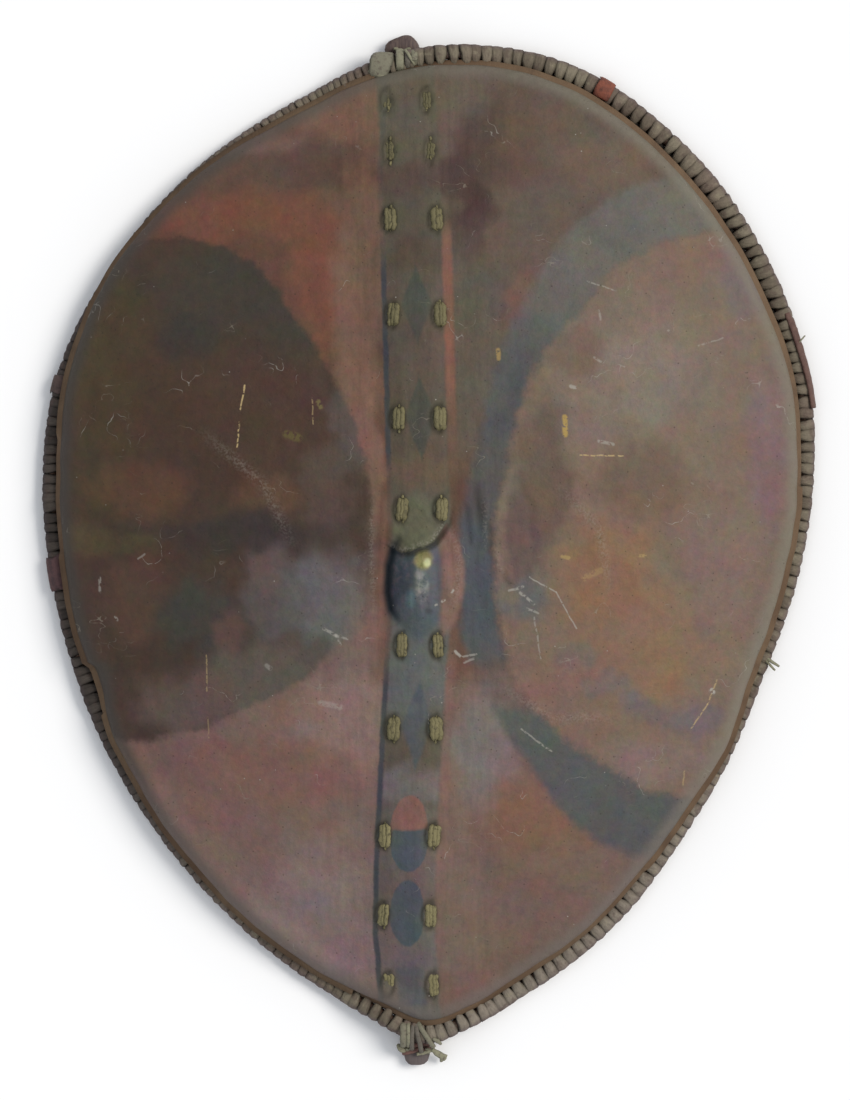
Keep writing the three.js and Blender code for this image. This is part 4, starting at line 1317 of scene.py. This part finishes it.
def lacing_tree():
    m = Maker("lacing", {
        "Turn": "NodeSocketObject", "Sway": "NodeSocketFloat", "Uneven lay": "NodeSocketFloat",
        "Uneven width": "NodeSocketFloat", "Seed": "NodeSocketInt", "Thong": "NodeSocketMaterial",
    })
    given = m.given
    path = m.node("GeometryNodeMeshToCurve", None, {"Mesh": given["Geometry"]})
    tangent = m.node("GeometryNodeInputTangent")
    facing = m.node(
        "FunctionNodeAxesToRotation", {"primary_axis": "Y", "secondary_axis": "Z"},
        {0: tangent, 1: (0, 0, 1)})
    turn = m.node("GeometryNodeObjectInfo", None, {"Object": given["Turn"]}, "Geometry")
    turns = m.node(
        "GeometryNodeInstanceOnPoints", None,
        {"Points": path, "Instance": turn, "Rotation": facing})
    sway = m.random(-1.0, 1.0, given["Seed"]) * given["Sway"]
    tilt = m.random(-1.0, 1.0, given["Seed"] + 1) * given["Sway"] * 0.6
    lean = m.node("GeometryNodeInputNamedAttribute", {"data_type": "FLOAT"}, {"Name": "lean"})
    turned = m.node("ShaderNodeCombineXYZ", None, {0: tilt, 2: sway + lean})
    turns = m.node("GeometryNodeRotateInstances", None, {"Instances": turns, "Rotation": turned})
    bulk = m.node("GeometryNodeInputNamedAttribute", {"data_type": "FLOAT"}, {"Name": "bulk"})
    spacing = m.node("GeometryNodeInputNamedAttribute", {"data_type": "FLOAT"}, {"Name": "spacing"})
    width = (m.random(-1.0, 1.0, given["Seed"] + 2) * given["Uneven width"] + 1) * spacing
    thick = m.random(0.0, 1.0, given["Seed"] + 3) * -0.05 + bulk
    scale = m.node("ShaderNodeCombineXYZ", None, {0: thick, 1: width * bulk, 2: thick})
    turns = m.node("GeometryNodeScaleInstances", None, {"Instances": turns, "Scale": scale})
    turns = m.keep(turns, "tone", m.random(0.0, 1.0, given["Seed"] + 4), "INSTANCE")
    turns = m.node("GeometryNodeRealizeInstances", None, {0: turns})
    clouds = m.node("ShaderNodeTexNoise", None, {"Scale": 1 / (7 * MM), "Detail": 2.0}, "Color")
    centred = m.node("ShaderNodeVectorMath", {"operation": "SUBTRACT"}, {0: clouds, 1: (0.5, 0.5, 0.5)})
    scaling = {0: centred, "Scale": given["Uneven lay"]}
    push = m.node("ShaderNodeVectorMath", {"operation": "SCALE"}, scaling)
    turns = m.node("GeometryNodeSetPosition", None, {"Geometry": turns, "Offset": push})
    turns = m.node("GeometryNodeSetMaterial", None, {"Geometry": turns, "Material": given["Thong"]})
    return m.end(turns)


def rim_path(name, across, height, spacings):
    """The rim's line as a closed chain of edges, spaced as given, with its bulk and lean."""
    fine = np.linspace(0, 360, 3601)
    edge, _ = rim_frame(fine)
    steps = np.linalg.norm(np.diff(edge, axis=0), axis=1)
    gaps = np.interp(fine, [row[0] for row in spacings], [row[1] for row in spacings])
    run = np.concatenate([[0], np.cumsum(steps / ((gaps[1:] + gaps[:-1]) / 2))])
    count = round(run[-1])
    bearing = np.interp(np.arange(count) / count * run[-1], run, fine)
    points = rim_point(bearing, across + 0 * bearing, height)
    mesh = bpy.data.meshes.new(name)
    mesh.from_pydata((points * MM).tolist(), [(i, (i + 1) % count) for i in range(count)], [])
    values = {
        "bulk": 1 + sum(extra * hump(bearing - middle, half) for middle, half, extra in BULGES),
        "lean": 0.11 * swell(bearing, 0 * bearing, 40, 5) + 0.05 * swell(bearing, 0 * bearing, 9, 6),
        "spacing": np.interp(bearing, fine, gaps) / 9.9,
    }
    for key, amounts in values.items():
        mesh.attributes.new(key, "FLOAT", "POINT").data.foreach_set("value", amounts.astype(np.float32))
    return add_object(name, mesh)


def make_lacing():
    turn = make_turn()
    piece = rim_path("rim_lacing", 0.0, 0.0, TURN_SPACING)
    values = {
        "Turn": turn, "Sway": math.radians(4), "Uneven width": 0.10, "Uneven lay": 3.2 * MM,
        "Seed": 7, "Thong": rim_thong_finish(),
    }
    apply_tree(piece, lacing_tree(), values)
    bpy.data.objects.remove(turn)
    return piece


def rod_tree():
    m = Maker("rod", {"Radius": "NodeSocketFloat", "Wood": "NodeSocketMaterial"})
    path = m.node("GeometryNodeMeshToCurve", None, {"Mesh": m.given["Geometry"]})
    ring = m.node(
        "GeometryNodeCurvePrimitiveCircle", None, {"Resolution": 12, "Radius": m.given["Radius"]})
    rod = m.node("GeometryNodeCurveToMesh", None, {"Curve": path, "Profile Curve": ring})
    rod = m.node("GeometryNodeRealizeInstances", None, {0: rod})
    rod = m.node("GeometryNodeSetMaterial", None, {"Geometry": rod, "Material": m.given["Wood"]})
    return m.end(rod)


def make_rod(wood):
    piece = rim_path("rim_rod", ROD_MIDDLE, ROD_HEIGHT, [(0, 8.5), (360, 8.5)])
    apply_tree(piece, rod_tree(), {"Radius": ROD_RADIUS * MM, "Wood": wood})
    piece.data.shade_smooth()
    return turn_outwards(piece)


def rim_ribbon(bundle, bearings, across, height, half_width, thickness, **options):
    """A strip laid along or over the rim, given by places on the rim."""
    places = zip(bearings, across, height)
    line = [rim_point(np.array(b), np.array(a), np.array(h)) for b, a, h in places]
    facing = []
    for b, a, h in zip(bearings, across, height):
        _, outward = rim_frame(np.array(b))
        rise = h - 8.5
        reach = a + 10.5
        facing.append((outward[0] * reach, outward[1] * reach, rise))
    bundle.ribbon(line, facing, half_width, thickness, **options)


def make_patch(name, bearing, half_width, seed):
    """A scrap of hide folded over the lacing, from the top round the outside."""
    bundle = Bundle(seed)
    across = [-16.5, -12, -5.5, 0.9, 2.0, 1.6]
    height = [17.2, 19.0, 18.9, 14.2, 9.0, 5.0]
    draw = np.random.default_rng(seed)
    widths = half_width * (1 + 0.10 * draw.uniform(-1, 1, len(across)))
    drift = bearing + 0.12 * np.linspace(-1, 1, len(across))
    rim_ribbon(bundle, drift, across, height, widths, 1.5, steps=4, crown=0.15)
    return bundle.piece(name)


def make_lap():
    """The flat end of the rim strip, lapped outside the lacing."""
    bundle = Bundle(31)
    bearings = [36.5, 35, 32, 29, 26.5, 24.2]
    across = [-4, -3, -2, -0.6, 0.4, 1.0]
    height = [15.4, 15.6, 15.2, 14.4, 13.6, 13.2]
    rim_ribbon(bundle, bearings, across, height, [3, 4.2, 4.6, 4.8, 4.9, 4.9], 2.4, crown=0.15)
    return bundle.piece("rim_lap_strip")


# ---- the stave and its lashings ------------------------------------------------------------------

RIM_TOP_Y = GRIP[1] + float(rim_reach(STAVE_END_BEARINGS[0]))
RIM_FOOT_Y = GRIP[1] - float(rim_reach(STAVE_END_BEARINGS[1]))


def inside_rim(y):
    return np.minimum(RIM_TOP_Y - y, y - RIM_FOOT_Y)


def stave_top(y):
    y = np.asarray(y, float)
    end_top = STAVE["end_bottom"] + STAVE["end_thickness"]
    ramp = end_top + STAVE["ramp"] * np.maximum(0, inside_rim(y) - STAVE["clear_of_rim"])
    inner = np.clip(y, RIM_FOOT_Y + 40, RIM_TOP_Y - 40)
    sides = [under_hide(spine_x(inner) + s * STAVE["half_width"], inner) for s in (-1, 1)]
    part = (y - STAVE["grip_middle"]) / STAVE["grip_half_length"]
    bow = np.where(np.abs(part) < 1, STAVE["grip_bow"] * (1 - part**2) ** 2, 0)
    return np.minimum(ramp, np.minimum(*sides) - STAVE["hide_gap"]) - bow


def stave_thickness(y):
    part = smooth_step((inside_rim(y) - STAVE["clear_of_rim"]) / 90)
    return STAVE["end_thickness"] + (STAVE["thickness"] - STAVE["end_thickness"]) * part


def stave_half_width(y):
    far = smooth_step(2 * np.abs(y - STAVE["grip_middle"]) / STAVE["slim_half_length"] - 1)
    return STAVE["grip_half_width"] + (STAVE["half_width"] - STAVE["grip_half_width"]) * far


# The knob at the top: place along, its left and right edges, and how far its top rises.
KNOB = [
    (446.5, -37.5, -13, 0), (448.5, -41, -10.5, 1.6), (452, -41.5, -9.6, 3.0), (456, -40.6, -10.6, 3.4),
    (459.5, -37.5, -12.6, 3.0), (462.3, -31.5, -15.2, 2.2),
    (464.2, -26.5, -17.5, 1.0), (465, -24, -19.5, -1.5),
]
FOOT = [
    (-465, -17.5, -8.5), (-464.2, -20, -5.5), (-461, -22.6, -2.2),
    (-456, -24, -0.8), (-450, -24.3, -0.6),
]


def stave_sections():
    """(y, left, right, bottom, top) along the stave."""
    rows = [(y, left, right, 3.2, 10.2) for y, left, right in FOOT]
    for y in np.linspace(-444, 440, 112):
        half = float(stave_half_width(y))
        top = float(stave_top(y))
        middle = float(spine_x(y))
        wave = 0.5 * math.sin(y / 23) + 0.35 * math.sin(y / 9.7)
        rows.append((y, middle - half + wave, middle + half + wave, top - float(stave_thickness(y)), top))
    for y, left, right, rise in KNOB:
        rows.append((y, left, right, 3.2, 10.2 + rise))
    return rows


def make_stave(wood):
    """The wooden stave, flat towards the hide, rounded behind, with its knob."""
    outline = [
        (-0.62, 1.0), (-0.2, 1.03), (0.2, 1.03), (0.62, 1.0), (0.9, 0.9), (1.0, 0.68), (0.95, 0.38),
        (0.74, 0.13), (0.4, 0.0), (0, -0.03), (-0.4, 0.0), (-0.74, 0.13), (-0.95, 0.38), (-1.0, 0.68),
        (-0.9, 0.9),
    ]
    points = []
    sections = stave_sections()
    for y, left, right, bottom, top in sections:
        for across, up in outline:
            x = (left + right) / 2 + across * (right - left) / 2
            lobe = 0.0
            if y > KNOB[0][0] and up > 0.6:
                lobe = -2.4 * float(hump(x + 32.5, 2.6)) + 0.8 * float(hump(x + 21, 6))
            points.append((x, y, bottom + up * (top - bottom) + lobe))
    size = len(outline)
    faces = quad_grid(len(sections), size)
    faces.append(list(range(size))[::-1])
    last = (len(sections) - 1) * size
    faces.append(list(range(last, last + size)))
    piece = turn_outwards(make_mesh("wooden_stave", points, faces))
    piece.data.materials.append(wood)
    return piece


def make_lashing(number, row, finish):
    """One lashing: a stitch of folded thong on each side, and strands across the stave's back."""
    y, half_spacing, breadth, proud, pale = row
    bundle = Bundle(100 + number)
    draw = bundle.draw
    middle = float(spine_x(y))
    reach = 9.8 if proud > 0.3 else 7.0
    for side in (-1, 1):
        x = middle + side * half_spacing
        lean = draw.uniform(-1.2, 1.2)
        for strand in (-1, 0, 1):
            centre = x + strand * 0.62 * breadth + draw.uniform(-0.3, 0.3)
            half = 0.42 * breadth * draw.uniform(0.9, 1.2)
            up = proud + draw.uniform(-0.4, 0.5) + (0.5 if strand == 0 else 0)
            long = reach * draw.uniform(0.93, 1.04)
            places = np.array([-1, -0.97, -0.82, -0.3, 0.3, 0.82, 0.97, 1]) * long
            rises = [-4.5, -1.4, 0.6 * up, up, up, 0.6 * up, -1.4, -4.5]
            line = []
            for place, rise in zip(places, rises):
                px = centre + lean * place / 12
                line.append((px, y + place, float(face_height(px, y + place)) + rise))
            tone = pale + draw.uniform(-0.15, 0.15)
            bundle.ribbon(line, (0.35 * strand, 0, 1), half, 2.0, steps=3, crown=0.4, tone=tone)
    for end in (-1, 1):
        place = y + end * STITCH_HALF_LENGTH
        back = float(stave_top(place) - stave_thickness(place))
        left, right = middle - half_spacing, middle + half_spacing
        shell = [float(under_hide(left, place)), float(under_hide(right, place))]
        half = float(stave_half_width(place))
        for turn in (-1, 1):
            shift = place + 2.2 * turn
            line = [
                (left, shift, shell[0] + 5), (left + 0.5, shift, shell[0] - 1.5),
                (middle - half - 1.6, shift, 0.5 * (back + shell[0]) - 1),
                (middle - half * 0.72, shift, back - 0.6),
                (middle, shift, back - 1.5), (middle + half * 0.72, shift, back - 0.6),
                (middle + half + 1.6, shift, 0.5 * (back + shell[1]) - 1),
                (right - 0.5, shift, shell[1] - 1.5),
                (right, shift, shell[1] + 5),
            ]
            facing = [
                (-1, 0, 0.1), (-1, 0, -0.2), (-1, 0, -0.5), (-0.5, 0, -1), (0, 0, -1),
                (0.5, 0, -1), (1, 0, -0.5), (1, 0, -0.2), (1, 0, 0.1),
            ]
            bundle.ribbon(line, facing, 2.1, 1.5, steps=3)
    piece = bundle.piece(f"stave_lashing_thong_{number:02d}", 0.55)
    piece.data.materials.append(finish)
    return turn_outwards(piece)


def over_rim(x, outer_y, inner_y, top=19.0, low=2.0):
    """A thong's line over the rim near a stave end, from outside in: points along Y at one x."""
    towards = 1 if outer_y > inner_y else -1
    base = RIM_LIFT
    return [
        (x, outer_y + 0.4 * towards, base + low), (x, outer_y + 1.0 * towards, base + 9),
        (x, outer_y - 3.4 * towards, base + 16.2), (x, outer_y - 9 * towards, base + top),
        (x, inner_y + 4 * towards, base + top - 1.5), (x, inner_y, base + 12.5),
    ]


def outer_facing(towards):
    return [
        (0, towards, 0), (0, towards, 0.15), (0, towards * 0.7, 0.8), (0, 0, 1), (0, -0.2 * towards, 1),
        (0, -0.5 * towards, 1),
    ]


def make_top_tie(finish):
    """Thongs that hold the stave's knob to the rim at the top."""
    bundle = Bundle(41)
    line = over_rim(-27.6, 450.5, 431.0)
    bundle.ribbon(line, outer_facing(1), 3.7, 1.4, tone=0.9)
    band = [(-23, 451, 26.5), (-20.5, 447, 30.2), (-17, 441.5, 29.5), (-14, 436.5, 25)]
    bundle.ribbon(band, (0, 0.1, 1), 1.4, 1.0, tone=1.0)
    bundle.ribbon(over_rim(-14.6, 450.5, 436.5), outer_facing(1), 3.2, 1.3, tone=0.7)
    bundle.ribbon(over_rim(-20.6, 449.5, 433.5, 17.6), outer_facing(1), 2.8, 1.2, tone=0.1)
    fold = over_rim(-42.5, 447.5, 424.0, 19.8)
    slope = [(x - 0.25 * (447.5 - y), y, z) for x, y, z in fold]
    bundle.ribbon(slope, outer_facing(1), [8, 9.5, 10.4, 10.4, 8.5, 5.5], 1.6, tone=0.55)
    lip = [(-56, 431, 26), (-50, 428.6, 28.8), (-43, 426.2, 28.6), (-37, 425.6, 26)]
    bundle.ribbon(lip, (0, -0.5, 1), [1.4, 2.8, 2.6, 1.2], 1.4, tone=0.8)
    for x in (-31, -20):
        under = [
            (x, 452, 16), (x, 455.5, 8), (x, 452, 2.4), (x, 440, 1.6),
            (x, 428, 2.2), (x, 424, 8), (x, 425, 16),
        ]
        faces = [
            (0, 0.4, 1), (0, 1, 0), (0, 0.6, -1), (0, 0, -1),
            (0, -0.4, -1), (0, -1, 0), (0, -1, 0.4),
        ]
        bundle.ribbon(under, faces, 2.6, 1.4)
    piece = bundle.piece("top_end_thongs")
    piece.data.materials.append(finish)
    return turn_outwards(piece)


def make_bottom_tie(finish):
    """Thongs fanned from one hole over the rim to the stave's foot, and wound about it."""
    bundle = Bundle(43)
    hole = (-12.6, -423.5, 22)
    strands = [
        [(-12.4, -424.5, 24), (-8.5, -431, 29), (-2.5, -440, 28.5), (2.8, -448.5, 21)],
        [(-13, -425, 24), (-12.5, -433, 29.4), (-10, -443, 28), (-8.2, -453.5, 17)],
        [(-14.2, -425, 24), (-16.5, -434, 29.2), (-17, -443, 27.5), (-16.8, -451, 18)],
    ]
    for line, half in zip(strands, (2.4, 2.2, 2.3)):
        bundle.ribbon([hole] + line, (0, -0.3, 1), [1.2, *[half] * 4], 1.4)
    for x, tone in ((-24.6, 0.55), (-20.2, 0.85)):
        line = over_rim(x, -447.0, -424.5, 19.2)
        bundle.ribbon(line, outer_facing(-1), 3.0 if x < -22 else 1.9, 1.5, tone=tone)
    knot = [(-29.5, -446, 14), (-27.5, -449, 17), (-25, -451.5, 16.5), (-23, -453, 13)]
    bundle.ribbon(knot, (0, 0, 1), [1.8, 2.8, 2.6, 1.6], 2.0, tone=1.0)
    cross = [(-12.5, -454.8, 15.5), (-6, -453.6, 15.2), (0, -451.6, 15), (4, -450.2, 15.5)]
    bundle.ribbon(cross, (0, 0, 1), 1.7, 1.2, tone=0.9)
    for end, half in (((14.6, -457.6, 9.5), 2.0), ((13.2, -460.6, 8), 2.6), ((9.8, -462.6, 7), 1.8)):
        line = [
            (1.5, -450.5, 16.2), (5.5, -453.0 - 0.25 * (-457 - end[1]), 14.5),
            (9.5, (end[1] - 453) / 2, 12), end,
        ]
        bundle.ribbon(line, (0, 0, 1), [1.6, half, half * 1.1, half * 0.8], 1.2, tone=1.0)
    tail = [(2, -440, 27), (6.5, -442.5, 26), (9.5, -445.5, 21)]
    bundle.ribbon(tail, (0, 0, 1), [1.2, 2.4, 1.4], 1.5, tone=0.7)
    for x in (-21, -3):
        under = [
            (x, -450, 16), (x, -456, 7), (x, -452, 2), (x, -440, 1.4),
            (x, -424, 2), (x, -419, 9), (x, -421, 18),
        ]
        faces = [
            (0, -0.4, 1), (0, -1, 0), (0, -0.6, -1), (0, 0, -1),
            (0, 0.4, -1), (0, 1, 0), (0, 1, 0.4),
        ]
        bundle.ribbon(under, faces, 2.4, 1.3)
    piece = bundle.piece("bottom_end_thongs")
    piece.data.materials.append(finish)
    return turn_outwards(piece)


def make_foot_binding(finish):
    """Red thong wound three times about the stave's foot."""
    bundle = Bundle(47)
    for y in (-443.5, -448.2, -453.0):
        slope = 0.14
        line = [
            (-12, y, 2.2), (-22, y - 1, 2.2), (-25.4, y - 1.2, 6.5), (-24, y - 1.2, 12.4),
            (-18, y + 6 * slope - 0.6, 13.4), (-11.5, y + 12 * slope, 13.4), (-3, y + 18 * slope, 13),
            (0.4, y + 16 * slope, 7), (-3, y + 8 * slope, 2.4), (-12.3, y, 2.2),
        ]
        faces = [
            (0, 0, -1), (-0.4, 0, -1), (-1, 0, 0), (-0.6, 0, 1), (0, 0, 1), (0, 0, 1), (0.5, 0, 1),
            (1, 0, 0), (0.5, 0, -1), (0, 0, -1),
        ]
        bundle.ribbon(line, faces, 2.1, 1.3, steps=3)
    piece = bundle.piece("foot_binding")
    piece.data.materials.append(finish)
    return turn_outwards(piece)


def make_loose_ends(finish):
    """Ends of the lacing that stand off the rim."""
    bundle = Bundle(53)

    def sprig(bearing, inner, outer, turn, half, rise):
        start = rim_point(np.array(bearing), np.array(inner), np.array(14.0))
        stop = rim_point(np.array(bearing + turn), np.array(outer), np.array(rise))
        middle = 0.5 * (start + stop) + np.array([0, 0, 2.0])
        bundle.ribbon([start, middle, stop], (0, 0, 1), [half, half, 0.7 * half], 1.0, tone=1.0)

    sprig(347.6, -6.0, 9.0, -0.6, 1.5, 13.0)
    sprig(347.2, -5.0, 7.0, -1.0, 1.2, 15.0)
    sprig(32.4, -4.5, 4.4, 0.8, 0.8, 15.0)
    piece = bundle.piece("loose_thong_ends")
    piece.data.materials.append(finish)
    return turn_outwards(piece)


# ---- stage ---------------------------------------------------------------------------------------

CAMERA_HEIGHT = 6.01
CAMERA_SIDE = -0.005
SUBJECT_HEIGHT = 0.01
FRAME_HEIGHT = 0.9933
SENSOR = 36.0


def make_camera():
    data = bpy.data.cameras.new("camera")
    data.sensor_width = SENSOR
    data.lens = SENSOR * (CAMERA_HEIGHT - SUBJECT_HEIGHT) / FRAME_HEIGHT
    data.clip_end = 60
    camera = add_object("camera", data)
    camera.location = (CAMERA_SIDE, 0, CAMERA_HEIGHT)
    bpy.context.scene.camera = camera


def make_floor():
    far = 30000
    corners = [(-far, -far, 0), (far, -far, 0), (far, far, 0), (-far, far, 0)]
    floor = make_mesh("floor", corners, [[0, 1, 2, 3]])
    f = Finish("pale_floor")
    floor.data.materials.append(f.finish((0.93, 0.93, 0.93), 0.9, specular=0.0))
    floor.location.z = -0.0004


def make_lights():
    world = bpy.data.worlds.new("soft_sky")
    bpy.context.scene.world = world
    world.use_nodes = True
    background = world.node_tree.nodes["Background"]
    background.inputs["Color"].default_value = (0.94, 0.975, 1.03, 1)
    background.inputs["Strength"].default_value = 0.66
    data = bpy.data.lights.new("soft_key", "SUN")
    data.energy = 2.05
    data.angle = math.radians(30)
    data.color = (1.0, 0.96, 0.90)
    lamp = add_object("soft_key", data)
    direction = Vector((0.85, 0.30, 0.95))
    lamp.rotation_euler = direction.to_track_quat("Z", "Y").to_euler()
    bpy.context.scene.view_settings.view_transform = "Standard"


# ---- putting it together -------------------------------------------------------------------------


def fit(piece, slot, *nodes):
    """The piece rides with the shield and stands for its solids; slot is not used."""
    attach(piece, "root")
    if nodes:
        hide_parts(*nodes)


make_camera()
make_floor()
make_lights()

wood = wood_finish()
thong = thong_finish("end_thong", (0.235, 0.225, 0.150), (0.120, 0.105, 0.085), (0.085, 0.060, 0.048))
stitch = thong_finish(
    "stitch_thong", (0.225, 0.195, 0.095), (0.105, 0.092, 0.045), (0.045, 0.038, 0.024)
)
red_thong = thong_finish(
    "red_thong", (0.200, 0.105, 0.085), (0.135, 0.072, 0.062), (0.070, 0.045, 0.040)
)

fit(make_painted_hide(), "painted_hide", "hide_face")
fit(make_lacing(), "thong", "rim_binding")
fit(make_rod(wood), "wood", "rim_hoop")
lap = make_lap()
lap.data.materials.append(scrap_finish("lap_wood", (0.115, 0.062, 0.048), (0.080, 0.040, 0.032)))
fit(lap, "wood", "rim_lap_end")
SCRAPS = [
    ("red_scrap", "rim_patch_red", 69.8, 7.6, 61, (0.200, 0.062, 0.036), (0.095, 0.034, 0.024)),
    ("brown_scrap", "rim_patch_brown", 151.6, 8.2, 62, (0.080, 0.050, 0.044), (0.045, 0.030, 0.027)),
    ("maroon_scrap", "rim_patch_maroon", 178.7, 15.5, 63, (0.092, 0.046, 0.046), (0.055, 0.030, 0.032)),
]
for name, node, bearing, half_width, seed, colour, dark in SCRAPS:
    scrap = make_patch(name, bearing, half_width, seed)
    scrap.data.materials.append(scrap_finish(name + "_hide", colour, dark))
    fit(turn_outwards(scrap), "scrap_hide", node)
fit(make_stave(wood), "wood", "stave")
for number, row in enumerate(LASHINGS, 1):
    lashing = make_lashing(number, row, stitch)
    fit(lashing, "stitch_thong", f"stave_lashing_{number:02d}")
fit(make_top_tie(thong), "thong", "top_end_tie")
fit(make_bottom_tie(thong), "thong", "bottom_end_tie")
fit(make_foot_binding(red_thong), "thong")
fit(make_loose_ends(thong), "thong")
